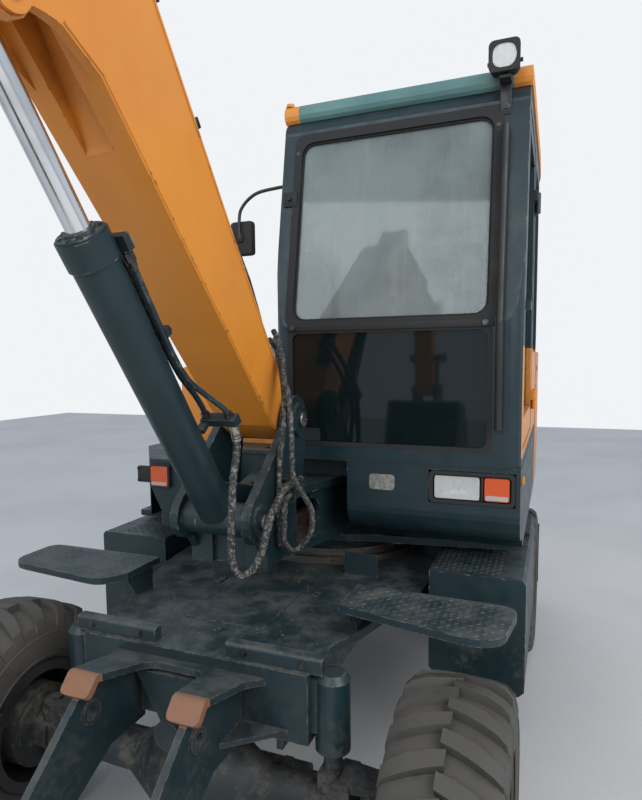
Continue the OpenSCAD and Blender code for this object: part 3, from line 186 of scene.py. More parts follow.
sky()
panel_light("left_sky", (2.6, 5.4, 5.2), (0.2, 0.2, 1.2), 4.5, 270, (1.0, 0.98, 0.95))
panel_light("front_sky", (6.0, -1.0, 4.6), (0.0, 0.0, 1.3), 4.0, 170, (0.93, 0.97, 1.0))
ground()

# Painted plate and castings
# The frame, bodies, cab shell, boom and arm are welded plate, the counterweight and axles are cast. They are
# sprayed dark teal, orange or black, dusty, chipped on their edges and muddy low down.


def painted(name, base, worn, bare, dust=0.3, chips=0.35, mud=0.0, rough=0.42, scratches=0.35, zones=()):
    """A sprayed coat. Each zone is a list of (axis, from, to) bounds in metres and the colour inside them."""
    material, tree, skin = shader(name)
    coord = node(tree, "TexCoord")
    spot = coord.outputs["Object"]
    axes = node(tree, "SeparateXYZ", {0: spot})
    colour = tint(tree, ramp(tree, noise(tree, spot, 2.3, 5), 0.36, 0.68), base, worn)
    for bounds, other in zones:
        mask = None
        for axis, low, high in bounds:
            within = sums(tree, "GREATER_THAN", axes.outputs[axis], low)
            within = sums(tree, "MULTIPLY", within, sums(tree, "LESS_THAN", axes.outputs[axis], high))
            mask = within if mask is None else sums(tree, "MULTIPLY", mask, within)
        colour = tint(tree, mask, colour, other)
    speckle = noise(tree, spot, 210, 2)
    dark = tuple(0.55 * c for c in base)
    colour = tint(tree, ramp(tree, speckle, 0.42, 0.8, 0, 0.2), colour, dark)
    # Long fine scratches
    drawn = noise(tree, stretched(tree, spot, (5, 60, 110), (0.1, 0.5, 0.3)), 1.5, 6, 0.7)
    scratch = ramp(tree, drawn, 0.655, 0.70, 0, scratches)
    pale = tuple(min(1.0, 0.5 * c + 0.16) for c in base)
    colour = tint(tree, scratch, colour, pale)
    # Chips where an edge is sharp, and a few on the faces
    soft = node(tree, "Bevel", {"Radius": 0.006}, samples=4).outputs[0]
    face = node(tree, "NewGeometry").outputs["Normal"]
    alike = node(tree, "VectorMath", {0: soft, 1: face}, operation="DOT_PRODUCT").outputs["Value"]
    edge = ramp(tree, alike, 0.99, 0.90)
    broken = noise(tree, spot, 34, 6, 0.68)
    chip = sums(tree, "MULTIPLY", edge, ramp(tree, broken, 0.62 - 0.22 * chips, 0.66 - 0.2 * chips))
    loose = ramp(tree, noise(tree, spot, 16, 8, 0.7), 0.735 - 0.05 * chips, 0.75 - 0.05 * chips, 0, chips)
    chip = sums(tree, "MAXIMUM", chip, loose)
    metal = tint(tree, ramp(tree, noise(tree, spot, 75, 4), 0.4, 0.62), bare, tuple(0.4 * c for c in bare))
    colour = tint(tree, chip, colour, metal)
    # Grime and painted shade in the corners, dust on what faces up, mud low down
    open_sky = node(tree, "AmbientOcclusion", {"Distance": 0.09}, samples=4).outputs["AO"]
    corner = sums(tree, "MULTIPLY", ramp(tree, open_sky, 0.85, 0.3),
                  ramp(tree, noise(tree, spot, 11, 4), 0.3, 0.65))
    # Corners and creases that the ambient occlusion finds closed in are darkened: painted shade, patchy like
    # grime
    colour = tint(tree, sums(tree, "MULTIPLY", corner, 0.62), colour, (0.022, 0.02, 0.017))
    up = node(tree, "SeparateXYZ", {0: coord.outputs["Normal"]}).outputs[2]
    cloud = ramp(tree, noise(tree, spot, 7.5, 9, 0.7), 0.38, 0.66)
    film = sums(tree, "MULTIPLY", sums(tree, "ADD", ramp(tree, up, 0.3, 0.95), 0.07),
                sums(tree, "ADD", cloud, 0.12))
    film = sums(tree, "MULTIPLY", film, dust)
    colour = tint(tree, film, colour, (0.135, 0.135, 0.125))
    spread = sums(tree, "MULTIPLY", noise(tree, spot, 5, 3), noise(tree, spot, 38, 8, 0.7))
    splash = sums(tree, "MULTIPLY", ramp(tree, axes.outputs[2], 0.86, 0.45), ramp(tree, spread, 0.22, 0.36))
    splash = sums(tree, "MULTIPLY", splash, mud)
    colour = tint(tree, splash, colour, (0.12, 0.108, 0.09))
    matt = sums(tree, "MAXIMUM", sums(tree, "MAXIMUM", film, splash), sums(tree, "MULTIPLY", corner, 0.8))
    gloss = ramp(tree, noise(tree, spot, 14, 4), 0.3, 0.7, rough - 0.08, rough + 0.08)
    gloss = sums(tree, "ADD", gloss, sums(tree, "MULTIPLY", matt, 0.5))
    grit = sums(tree, "MULTIPLY", noise(tree, spot, 260, 3), 0.28)
    height = sums(tree, "ADD", grit, sums(tree, "MULTIPLY", splash, 0.8))
    height = sums(tree, "SUBTRACT", height, sums(tree, "MULTIPLY", chip, 0.25))
    dress(tree, skin, colour, gloss, height, 0.35, 0.0012)
    return material


def coat(material, names):
    """Gives the named CAD pieces this finish."""
    for name in names.split():
        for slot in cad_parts[name].material_slots:
            slot.material = material


TEAL, TEAL_WORN = (0.0058, 0.0205, 0.0265), (0.0092, 0.030, 0.036)
ORANGE, ORANGE_WORN = (0.76, 0.275, 0.030), (0.68, 0.235, 0.028)
PALE_STEEL, BROWN = (0.30, 0.28, 0.25), (0.21, 0.085, 0.035)
CAB_SIDE = [([(1, 0.86, 2.0), (2, 1.36, 1.765), (0, -2.1, -0.565)], ORANGE)]
ROOF_EDGES = [([(1, -0.2, 0.028)], ORANGE), ([(1, 0.868, 1.2)], ORANGE)]
RUSTY_TIPS = [([(0, 0.431, 0.50), (2, 0.80, 0.90)], (0.27, 0.115, 0.052))]
teal = painted("teal_paint", TEAL, TEAL_WORN, PALE_STEEL, dust=0.34, chips=0.4, mud=0.55)
teal_clean = painted("teal_cab", TEAL, TEAL_WORN, PALE_STEEL, dust=0.16, chips=0.25, scratches=0.2,
                     rough=0.36, zones=CAB_SIDE)
teal_deck = painted("teal_deck", (0.0075, 0.024, 0.031), (0.014, 0.033, 0.039), (0.20, 0.19, 0.17),
                    dust=0.5, chips=0.7, mud=0.5, scratches=0.6, rough=0.44)
teal_horn = painted("teal_bracket", (0.0085, 0.025, 0.032), (0.016, 0.034, 0.039), (0.20, 0.115, 0.075),
                    dust=0.42, chips=0.8, mud=0.4, scratches=0.7, rough=0.48, zones=RUSTY_TIPS)
orange = painted("orange_paint", ORANGE, ORANGE_WORN, (0.05, 0.035, 0.028),
                 dust=0.12, chips=0.22, scratches=0.25, rough=0.38)
roof = painted("roof_paint", (0.125, 0.255, 0.245), (0.085, 0.20, 0.195), (0.25, 0.22, 0.18),
               dust=0.3, chips=0.2, rough=0.55, zones=ROOF_EDGES)
axle_paint = painted("axle_paint", (0.009, 0.016, 0.019), (0.02, 0.024, 0.024), BROWN,
                     dust=0.4, chips=0.5, mud=0.8, rough=0.6)
black_paint = painted("black_paint", (0.012, 0.012, 0.013), (0.02, 0.02, 0.02), PALE_STEEL,
                      dust=0.25, chips=0.2, rough=0.45)
coat(teal, "upper_frame side_boxes swing_post boom_barrel blade arm_barrel tool_box bucket_barrel "
           "axle_lock_cylinders")
coat(teal_clean, "cab_shell cab_door")
coat(teal_deck, "chassis_frame access_steps")
coat(teal_horn, "front_bracket")
coat(orange, "boom counterweight engine_hood side_body arm")
coat(roof, "cab_roof")
coat(axle_paint, "front_axle rear_axle drive_line left_knuckle right_knuckle blade_barrel engine_block")
coat(black_paint, "rim_front_left rim_front_right rim_rear_left rim_rear_right handrails")

# Bare steel: slewing ring, rods and digging tools
# The ring's teeth and the bucket with its links are forged and cast steel, worn bare and rusty in patches.
# The cylinders' rods are ground and plated with chrome.


def steel(name, base, tarnish, rough, rust=0.2, grain=(4, 4, 120), bump=0.22):
    """Bare steel: brushed or turned, tarnished, with rust in patches."""
    material, tree, skin = shader(name)
    spot = node(tree, "TexCoord").outputs["Object"]
    lines = noise(tree, stretched(tree, spot, grain), 2.0, 4)
    colour = tint(tree, ramp(tree, lines, 0.35, 0.7), base, tarnish)
    rusty = ramp(tree, noise(tree, spot, 24, 8, 0.68), 0.66 - 0.4 * rust, 0.76 - 0.4 * rust)
    brown = tint(tree, ramp(tree, noise(tree, spot, 90, 5), 0.35, 0.65),
                 (0.20, 0.075, 0.028), (0.07, 0.028, 0.014))
    tree.links.new(sums(tree, "SUBTRACT", 1.0, rusty), skin.inputs["Metallic"])
    gloss = ramp(tree, lines, 0.3, 0.7, rough, rough + 0.12)
    gloss = sums(tree, "ADD", gloss, sums(tree, "MULTIPLY", rusty, 0.5))
    dress(tree, skin, tint(tree, rusty, colour, brown), gloss, sums(tree, "ADD", rusty, lines), bump, 0.0008)
    return material


digging = steel("digging_steel", (0.30, 0.28, 0.26), (0.17, 0.155, 0.14), 0.42, rust=0.35)
ring_steel = steel("ring_steel", (0.26, 0.25, 0.23), (0.12, 0.11, 0.1), 0.45, rust=0.3)
chrome = steel("rod_chrome", (0.80, 0.81, 0.83), (0.62, 0.63, 0.65), 0.12,
               rust=-0.6, grain=(3, 3, 3), bump=0.02)
coat(digging, "bucket bucket_link idler_links")
coat(ring_steel, "slew_ring")
coat(chrome, "boom_rod arm_rod bucket_rod blade_rod")

# Deck and the soil on it
# Plate welded over the frame, with a thinner cover over its middle. The lips on its front edge are bolted on,
# as is the cap of the axle's boss. Dry soil lies in crumbs along the middle.


def built(name, bm, material, body, sharp=32):
    """Makes a piece of the mesh, turns its faces outwards and lets it ride on its body, if it has one."""
    bmesh.ops.recalc_face_normals(bm, faces=bm.faces)
    mesh = bpy.data.meshes.new(name)
    bm.to_mesh(mesh)
    bm.free()
    mesh.shade_smooth()
    mesh.set_sharp_from_angle(angle=math.radians(sharp))
    mesh.materials.append(material)
    made = link(bpy.data.objects.new(name, mesh))
    if body:
        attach(made, body)
    return made


def rod(bm, a, b, r, r2=None, sides=24):
    """A round bar from a to b in mm, tapered where a second radius is given."""
    a, b = at(*a), at(*b)
    turn = (b - a).to_track_quat("Z", "Y").to_matrix().to_4x4()
    far = r if r2 is None else r2
    bmesh.ops.create_cone(bm, cap_ends=True, segments=sides, radius1=r / 1000, radius2=far / 1000,
                          depth=(b - a).length, matrix=Matrix.Translation((a + b) / 2) @ turn)


def bolt(bm, place, way, r=9.0):
    """A hexagon head on its washer."""
    place, way = Vector(place), Vector(way).normalized()
    rod(bm, place, place + 2 * way, 1.7 * r, sides=20)
    rod(bm, place + 2 * way, place + (2 + 0.75 * r) * way, r, 0.92 * r, sides=6)


def bolt_ring(bm, middle, u, v, count, ring, r, shift=0.0):
    """Bolts evenly round a circle in the plane of u and v, with their heads towards u x v."""
    middle, u, v = Vector(middle), Vector(u), Vector(v)
    for k in range(count):
        a = math.tau * (k + shift) / count
        bolt(bm, middle + ring * (math.cos(a) * u + math.sin(a) * v), u.cross(v), r)


def block(bm, low, high, edge=2.0, turn=None):
    """A box with rounded edges from its low to its high corner, turned about its middle."""
    low, high = Vector(low), Vector(high)
    size, middle = high - low, (high + low) / 2
    made = bmesh.ops.create_cube(bm, size=1.0)["verts"]
    for v in made:
        corner = Vector((v.co.x * size.x, v.co.y * size.y, v.co.z * size.z))
        v.co = at(*(middle + (turn @ corner if turn else corner)))
    edges = list({e for v in made for e in v.link_edges})
    bmesh.ops.bevel(bm, geom=edges, offset=edge / 1000, offset_type="OFFSET", affect="EDGES",
                    segments=2, profile=0.5, material=-1)


def thicken(bm, faces, thick):
    """Pulls flat faces out into a plate, by a vector in mm."""
    pulled = bmesh.ops.extrude_face_region(bm, geom=faces)["geom"]
    top = [part for part in pulled if isinstance(part, bmesh.types.BMVert)]
    bmesh.ops.translate(bm, vec=Vector(thick) / 1000, verts=top)


def slab(bm, outline, thick):
    """A flat plate with the given outline."""
    thicken(bm, [bm.faces.new([bm.verts.new(at(*p)) for p in outline])], thick)


bolt_steel = steel("bolt_steel", (0.13, 0.125, 0.12), (0.06, 0.06, 0.06), 0.42, rust=0.18, grain=(30, 30, 30))
DECK_Z = 835
bm = bmesh.new()
for s in (-1, 1):
    for k in (-1, 1):
        bolt(bm, (1326, s * 283 + 95 * k, 858), (1, 0, 0), 8)
bolt_ring(bm, (1400, 0, 630), (0, 1, 0), (0, 0, 1), 8, 36, 6, shift=0.5)
built("deck_bolts", bm, bolt_steel, "chassis")
bm = bmesh.new()
for x in (740, 775):
    for y in (-210, 210):
        block(bm, (x, y - 14, DECK_Z - 1), (x + 30, y + 14, DECK_Z + 7), 2)
slab(bm, [(700, -150, DECK_Z), (1120, -150, DECK_Z), (1120, 150, DECK_Z), (700, 150, DECK_Z)], (0, 0, 4))
built("deck_cover", bm, teal_deck, "chassis")
SOIL_CRUMBS, SOIL_EDGE = 170, 380
bm = bmesh.new()
clods = random.Random(7)
for _ in range(SOIL_CRUMBS):
    x, y = clods.uniform(500, 1290), clods.gauss(0, 170)
    if abs(y) > SOIL_EDGE:
        continue
    r = clods.uniform(1.5, 6) * (1.4 if clods.random() < 0.1 else 1.0)
    made = bmesh.ops.create_icosphere(bm, subdivisions=1, radius=r / 1000)["verts"]
    for v in made:
        v.co = at(x, y, DECK_Z + 1) + Vector((v.co.x * clods.uniform(0.8, 1.4), v.co.y, v.co.z * 0.5))
crumbs = painted("dry_soil", (0.10, 0.086, 0.066), (0.062, 0.054, 0.042), (0.12, 0.10, 0.08),
                 dust=0.2, chips=0.0, rough=0.9)
built("deck_soil", bm, crumbs, "chassis")

# Steps with a raised diamond pattern
# Chequer plate: short ribs that lie crosswise in turn, worn bright on their tops.
STEP_LEFT = [(904, 414), (1098, 408), (1182, 780), (1186, 880),
             (1130, 918), (985, 938), (932, 936), (921, 880)]
STEP_RIGHT = [(900, -412), (1098, -412), (1176, -470), (1184, -520), (1150, -860),
              (1140, -915), (1080, -940), (960, -942), (912, -930), (910, -890)]
STEP_Z, BOX_Z, RIB_PITCH = 950, 920, 21


def inside(x, y, outline):
    """Whether a place lies in an outline, by the edges that a line from it crosses."""
    crossings = 0
    for (x0, y0), (x1, y1) in zip(outline, outline[1:] + outline[:1]):
        if (y0 > y) != (y1 > y) and x < x0 + (y - y0) / (y1 - y0) * (x1 - x0):
            crossings += 1
    return crossings % 2 == 1


def rib(bm, x, y, z, slant):
    """One lozenge of the pattern, 1.7 mm high and narrower on top, slanted to one side or the other."""
    half, wide, high, shrink = 11.0, 3.4, 1.7, 0.45
    c, s = math.cos(math.radians(45)), math.copysign(math.sin(math.radians(45)), slant)
    foot = [(a * c - b * s, a * s + b * c) for a, b in ((half, 0), (0, wide), (-half, 0), (0, -wide))]
    base = [bm.verts.new(at(x + a, y + b, z)) for a, b in foot]
    top = [bm.verts.new(at(x + shrink * a, y + shrink * b, z + high)) for a, b in foot]
    bm.faces.new(top)
    for i in range(4):
        bm.faces.new((base[i], base[(i + 1) % 4], top[(i + 1) % 4], top[i]))


bm = bmesh.new()
for outline in (STEP_LEFT, STEP_RIGHT):
    for i in range(16):
        for k in range(30):
            x = 895 + RIB_PITCH * i
            y = math.copysign(400 + RIB_PITCH * k, outline[0][1])
            if all(inside(x + a, y + b, outline) for a in (-12, 12) for b in (-12, 12)):
                rib(bm, x, y, STEP_Z, (i + k) % 2 - 0.5)
for s in (-1, 1):
    for i in range(43):
        for k in range(12):
            rib(bm, -320 + RIB_PITCH * i, s * (620 + RIB_PITCH * k), BOX_Z, (i + k) % 2 - 0.5)
chequer = painted("chequer_plate", (0.010, 0.026, 0.032), (0.02, 0.036, 0.04), (0.17, 0.17, 0.16),
                  dust=0.5, chips=0.5, scratches=0.5, rough=0.45)
built("step_pattern", bm, chequer, "chassis", sharp=20)

# Tyres and wheel bolts
# Grader-type tyres with slanted lugs that meet at the middle; mud is caked between the lugs.


def rubber(name, base, dusty, amount, mud=0.0, speckle=0.0):
    """Rubber or moulded plastic: matt, greyed by dust, with pale specks or with mud between its lugs."""
    material, tree, skin = shader(name)
    spot = node(tree, "TexCoord").outputs["Object"]
    cloud = noise(tree, spot, 7, 7, 0.62)
    colour = tint(tree, ramp(tree, cloud, 0.36, 0.66, 0.1 * amount, amount), base, dusty)
    pores = ramp(tree, noise(tree, spot, 190, 3), 0.5, 0.75, 0, 0.3)
    colour = tint(tree, pores, colour, tuple(0.5 * c for c in base))
    if speckle:
        specks = ramp(tree, noise(tree, spot, 80, 7, 0.8), 0.49, 0.6, 0, speckle)
        colour = tint(tree, specks, colour, (0.25, 0.245, 0.225))
    if mud:
        deep = node(tree, "AmbientOcclusion", {"Distance": 0.05}, samples=4).outputs["AO"]
        lumps = sums(tree, "MULTIPLY", noise(tree, spot, 14, 8), 0.9)
        caked = ramp(tree, sums(tree, "ADD", lumps, sums(tree, "MULTIPLY", deep, -0.45)), 0.02, 0.42, 0, mud)
        colour = tint(tree, caked, colour, (0.115, 0.106, 0.092))
    height = sums(tree, "ADD", noise(tree, spot, 120, 4), sums(tree, "MULTIPLY", cloud, 0.5))
    dress(tree, skin, colour, ramp(tree, cloud, 0.3, 0.7, 0.58, 0.9), height, 0.4, 0.0015)
    return material


tyre_rubber = rubber("tyre_rubber", (0.016, 0.016, 0.0155), (0.044, 0.043, 0.040), 0.7, mud=0.5)
TYRE_R, LUGS = 420, 24
WHEELS = {"front_left": (1280, 1), "front_right": (1280, -1),
          "rear_left": (-850, 1), "rear_right": (-850, -1)}
# Half of the section, from bead to middle, as radius and side place; then the lugs' rows across the tread,
# each with its side place, the lug's two ends along the tread, its top and its foot
CARCASS = [(211, 122), (224, 124), (236, 138), (262, 149), (305, 151.5), (345, 150),
           (372, 143), (384, 128), (390, 100), (394, 60), (395, 0)]
LUG_ROWS = [(-8, -30, 14, 420, 390), (36, -20, 28, 419, 389), (84, -2, 48, 417, 386),
            (122, 20, 66, 409, 378), (143, 32, 76, 392, 364), (150.5, 38, 78, 362, 340)]
coat(tyre_rubber, "tyre_front_left tyre_front_right tyre_rear_left tyre_rear_right")


def turned(bm, section):
    """Spins a section of (radius, side place) in mm round the axle."""
    line = [bm.verts.new(Vector((0, y / 1000, r / 1000))) for r, y in section]
    edges = [bm.edges.new(pair) for pair in zip(line, line[1:])]
    bmesh.ops.spin(bm, geom=line + edges, cent=(0, 0, 0), axis=(0, 1, 0), angle=math.tau,
                   steps=72, use_merge=True)


def tread(bm, x, s):
    turned(bm, CARCASS + [(r, -y) for r, y in reversed(CARCASS[:-1])])
    for side in (-1, 1):
        for k in range(LUGS):
            turn = math.tau * (k + (0.5 if side > 0 else 0)) / LUGS
            rows = []
            for y, t0, t1, top, base in LUG_ROWS:
                row = []
                for t, r in ((t0 - 5, base), (t0 + 2, top), (t1 - 2, top), (t1 + 5, base)):
                    a = turn + t / TYRE_R
                    row.append(bm.verts.new(Vector((r * math.sin(a), side * y, r * math.cos(a))) / 1000))
                rows.append(row)
            for one, two in zip(rows, rows[1:]):
                for i in range(3):
                    bm.faces.new((one[i], one[i + 1], two[i + 1], two[i]))
            bm.faces.new(rows[0])
            bm.faces.new(rows[-1])
    # Two moulded ribs round each side wall
    for side in (-1, 1):
        for r, y in ((250, 147), (330, 152)):
            turned(bm, [(r + dr, side * (y + dy)) for dr, dy in ((-5, -2), (-2, 1.8), (2, 1.8), (5, -2))])
    bmesh.ops.translate(bm, vec=at(x, 800 * s, TYRE_R), verts=bm.verts)


for corner, (x, s) in WHEELS.items():
    face = (1, 0, 0), (0, 0, -s)
    bm = bmesh.new()
    tread(bm, x, s)
    made = built("tread_" + corner, bm, tyre_rubber, "wheel_" + corner, sharp=28)
    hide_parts("tyre_" + corner)
    bm = bmesh.new()
    bolt_ring(bm, (x, s * 866, TYRE_R), *face, 8, 84, 11, shift=0.5)
    rod(bm, (x, s * 880, TYRE_R), (x, s * 908, TYRE_R), 58, 50, sides=32)
    bolt_ring(bm, (x, s * 907, TYRE_R), *face, 5, 38, 5)
    built("wheel_bolts_" + corner, bm, axle_paint, "wheel_" + corner)

# Cab front
# Pressed-steel shell. The upper pane sits in a thick rubber seal with round corners, the lower one in a
# thin seal.
CAB_FRONT_X, SPLIT_Z, PANE_TOP_Z, LEAN = 620, 1850, 2615, 0.19


def pane_glass(name, split, upper, shaded_below, alphas):
    """Tinted cab glass: hazy above the split height, and dark and nearly opaque below it as painted shade of
    the cab's dark inside, with dust and wiped streaks.
    """
    material, tree, skin = shader(name)
    spot = node(tree, "TexCoord").outputs["Object"]
    z = node(tree, "SeparateXYZ", {0: spot}).outputs[2]
    above = sums(tree, "GREATER_THAN", z, split)
    haze = ramp(tree, noise(tree, spot, 2.2, 5), 0.3, 0.75)
    wiped = noise(tree, stretched(tree, spot, (2, 26, 2.5), (0, 0, 0.4)), 1.6, 6, 0.65)
    streaks = ramp(tree, wiped, 0.5, 0.8, 0, 0.16)
    streaks = sums(tree, "MULTIPLY", streaks, above)
    clear = tint(tree, haze, upper, tuple(0.74 * c for c in upper))
    # Below the split height the glass takes a dark colour that stands in for the shade inside the cab:
    # painted shade
    colour = tint(tree, above, shaded_below, clear)
    colour = tint(tree, streaks, colour, (0.55, 0.57, 0.55))
    clearer = ramp(tree, haze, 0, 1, alphas[0] + 0.08, alphas[0] - 0.08)
    alpha = node(tree, "Mix", {0: above, 2: alphas[1], 3: clearer})
    tree.links.new(alpha.outputs[0], skin.inputs["Alpha"])
    dress(tree, skin, colour, sums(tree, "ADD", 0.04, sums(tree, "MULTIPLY", streaks, 0.5)))
    skin.inputs["IOR"].default_value = 1.5
    return material


def rounded(a0, b0, a1, b1, r):
    """Outline of a rectangle with round corners, as pairs; each corner turns in six steps."""
    corners = [(a1 - r, b0 + r, -90), (a1 - r, b1 - r, 0), (a0 + r, b1 - r, 90), (a0 + r, b0 + r, 180)]
    turns = [(a, b, math.radians(start + 15 * k)) for a, b, start in corners for k in range(7)]
    return [(a + r * math.cos(turn), b + r * math.sin(turn)) for a, b, turn in turns]


def border(bm, outer, inner, thick):
    """A flat frame between two outlines of as many points."""
    loops = [[bm.verts.new(at(*p)) for p in outline] for outline in (outer, inner)]
    edges = [bm.edges.new(pair) for loop in loops for pair in zip(loop, loop[1:] + loop[:1])]
    thicken(bm, bmesh.ops.bridge_loops(bm, edges=edges)["faces"], thick)


def on_pane(y, z, out):
    """A place on the cab's front, which leans back above its split, and out from the glass by some mm."""
    return Vector((CAB_FRONT_X - LEAN * max(0, z - SPLIT_Z) + out, y, z))


def pane_line(out, *shape):
    """Outline of a rounded rectangle on the cab's front."""
    return [on_pane(y, z, out) for y, z in rounded(*shape)]


# The windscreen's dark, nearly opaque lower part is painted shade of the cab's inside
windscreen = pane_glass("cab_glass", SPLIT_Z / 1000,
                        (0.27, 0.325, 0.325), (0.006, 0.012, 0.013), (0.60, 0.88))
door_pane = pane_glass("door_glass", 0.5, (0.05, 0.07, 0.072), (0.05, 0.07, 0.072), (0.55, 0.55))
seal = rubber("black_seal", (0.010, 0.010, 0.011), (0.05, 0.05, 0.048), 0.35)
plastic = rubber("black_plastic", (0.014, 0.014, 0.015), (0.055, 0.054, 0.05), 0.3)
coat(windscreen, "cab_glass")
coat(door_pane, "door_glass")
coat(plastic, "cab_controls lamps seat")

bm = bmesh.new()
upper_hole = pane_line(-13, 52, SPLIT_Z + 24, 805, PANE_TOP_Z - 16, 50)
border(bm, pane_line(-13, 22, SPLIT_Z - 2, 836, PANE_TOP_Z + 20, 40), upper_hole, (17, 0, 3))
border(bm, upper_hole, pane_line(-11, 60, SPLIT_Z + 32, 797, PANE_TOP_Z - 24, 44), (8, 0, 1.5))
border(bm, pane_line(-13, 36, 1384, 822, SPLIT_Z - 10, 20),
       pane_line(-13, 50, 1399, 807, SPLIT_Z - 24, 30), (15, 0, 0))
built("pane_seals", bm, seal, "upper")
bm = bmesh.new()
block(bm, (600, 30, 1834), (628, 828, 1862), 5)
block(bm, (606, 44, 1862), (618, 812, 1872), 3)
built("pane_bar", bm, plastic, "upper")
bm = bmesh.new()
for y in (60, 798):
    rod(bm, (626, y, 1849), (634, y, 1849), 13, 11, sides=28)
for y in (38, 820):
    p = on_pane(y, 2560, -1)
    rod(bm, p, p + Vector((7, 0, 1.4)), 11, 9, sides=28)
built("pane_bolts", bm, bolt_steel, "upper")
# Lock of the opening windscreen on the right-hand pillar
bm = bmesh.new()
p = on_pane(12, 2372, 0)
block(bm, p + Vector((-4, -28, -29)), p + Vector((14, 32, 30)), 5)
rod(bm, p + Vector((8, 2, 0)), p + Vector((24, 2, 4)), 11, 9)
built("screen_locks", bm, plastic, "upper")


def lying(z, *shape):
    return [(x, y, z) for x, y in rounded(*shape)]


# Dark joint where the cab sits on its lower panels
bm = bmesh.new()
border(bm, lying(1327, -829, -29, 620.8, 925.8, 60), lying(1327, -826, -26, 617, 922, 58), (0, 0, 4))
built("cab_seam", bm, seal, "upper")

# Headlamp and signals
# A silvered dish and an orange-red signal behind ribbed lenses, in a moulded frame let into the lower panel.
# The right-hand signal stands in its own frame on the low box.


def lamp_lens(name, ridge, groove, alpha):
    """A moulded lens with fine ribs, dirty in patches."""
    material, tree, skin = shader(name)
    spot = node(tree, "TexCoord").outputs["Object"]
    wave = node(tree, "TexWave", {"Vector": spot, "Scale": 160, "Distortion": 0.0},
                bands_direction="Y").outputs["Fac"]
    dirt = ramp(tree, noise(tree, spot, 20, 6), 0.5, 0.75, 0, 0.45)
    shade = tint(tree, dirt, tint(tree, wave, ridge, groove), tuple(0.5 * c + 0.08 for c in ridge))
    skin.inputs["Alpha"].default_value = alpha
    dress(tree, skin, shade, ramp(tree, dirt, 0, 0.45, 0.12, 0.5), wave)
    return material


clear_lens = lamp_lens("clear_lens", (0.82, 0.84, 0.82), (0.6, 0.62, 0.6), 0.55)
red_lens = lamp_lens("signal_lens", (0.80, 0.125, 0.02), (0.55, 0.06, 0.01), 1.0)
mirror_silver = steel("reflector", (0.86, 0.86, 0.85), (0.72, 0.72, 0.7), 0.1, rust=-0.6, bump=0.02)


def facing(x, *shape):
    """Outline of a rounded rectangle that faces forwards."""
    return [(x, y, z) for y, z in rounded(*shape)]


bm = bmesh.new()
border(bm, facing(616, 602, 1190, 908, 1310, 18), facing(616, 616, 1203, 895, 1297, 14), (7, 0, 0))
border(bm, facing(594, 606, 1193, 905, 1307, 18), facing(594, 616, 1203, 895, 1297, 14), (23, 0, 0))
slab(bm, [(592, 606, 1194), (592, 904, 1194), (592, 904, 1306), (592, 606, 1306)], (3, 0, 0))
block(bm, (594, 788, 1203), (616, 798, 1297), 2)
lamp_frame = built("lamp_frame", bm, plastic, "upper")
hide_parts("lamps")
# The dish: a grid from -1 to 1 both ways, pressed in by 16 mm and 4 mm more in its middle
bm = bmesh.new()
for point in bmesh.ops.create_grid(bm, x_segments=24, y_segments=14, size=1.0)["verts"]:
    u, v = point.co.x, point.co.y
    deep = 16 * (1 - max(abs(u), abs(v)) ** 2.4) + 4 * math.exp(-((2.1 * u) ** 2 + (1.3 * v) ** 2) * 4)
    point.co = at(613 - deep, 703 + 80 * u, 1250 + 42 * v)
rod(bm, (597, 703, 1250), (611, 703, 1250), 9, 8)
built("headlamp_dish", bm, mirror_silver, "upper", sharp=60)
bm = bmesh.new()
slab(bm, facing(614, 622, 1208, 784, 1292, 10), (5, 0, 0))
built("headlamp_lens", bm, clear_lens, "upper")
bm = bmesh.new()
slab(bm, facing(604, 802, 1208, 888, 1292, 8), (15, 0, 0))
slab(bm, facing(600, -650, 1166, -562, 1254, 8), (21, 0, 0))
built("signal_lenses", bm, red_lens, "upper")
bm = bmesh.new()
slab(bm, facing(619, 806, 1211, 884, 1228, 4), (2, 0, 0))
slab(bm, facing(621, -646, 1170, -566, 1184, 4), (1.5, 0, 0))
built("signal_strips", bm, clear_lens, "upper")
bm = bmesh.new()
border(bm, facing(598, -658, 1157, -554, 1263, 12), facing(598, -648, 1168, -564, 1252, 8), (20, 0, 0))
block(bm, (574, -742, 1172), (598, -672, 1246), 5)
for z in (1182, 1236):
    bolt(bm, (598, -732, z), (1, 0, 0), 5)
built("box_lamp_frame", bm, plastic, "upper")

# Work lamp and name plate
# A square moulded lamp with a round dish and cooling fins, on a strip bracket at the cab's upper corner.
# The blank plate on the lower panel has a bright raised border.
zinc = steel("zinc_fitting", (0.55, 0.53, 0.48), (0.32, 0.30, 0.26), 0.32, rust=0.12, grain=(40, 40, 40))
bm = bmesh.new()
border(bm, facing(546, 787, 2716, 893, 2822, 20), facing(546, 800, 2729, 880, 2809, 30), (10, 0, 0))
slab(bm, facing(500, 790, 2719, 890, 2819, 22), (47, 0, 0))
slab(bm, facing(476, 806, 2735, 874, 2803, 20), (25, 0, 0))
for k in range(6):
    z = 2730 + 15 * k
    block(bm, (482, 800, z), (500, 880, z + 4), 1)
built("work_lamp", bm, plastic, "upper")
bm = bmesh.new()
block(bm, (474, 822, 2596), (482, 862, 2716), 2)
block(bm, (474, 822, 2700), (540, 862, 2712), 2)
rod(bm, (516, 780, 2760), (516, 900, 2760), 7)
bolt(bm, (482, 842, 2620), (1, 0, 0), 8)
built("work_lamp_bracket", bm, black_paint, "upper")
DISH_R, DISH_STEPS = 40, 9
bm = bmesh.new()
for i in range(DISH_STEPS):
    r0, r1 = (DISH_R * (1 - k / DISH_STEPS) for k in (i, i + 1))
    rod(bm, (549 - 2.2 * i, 840, 2769), (549 - 2.2 * (i + 1), 840, 2769), r0, max(r1, 2), sides=32)
built("work_lamp_dish", bm, mirror_silver, "upper")
bm = bmesh.new()
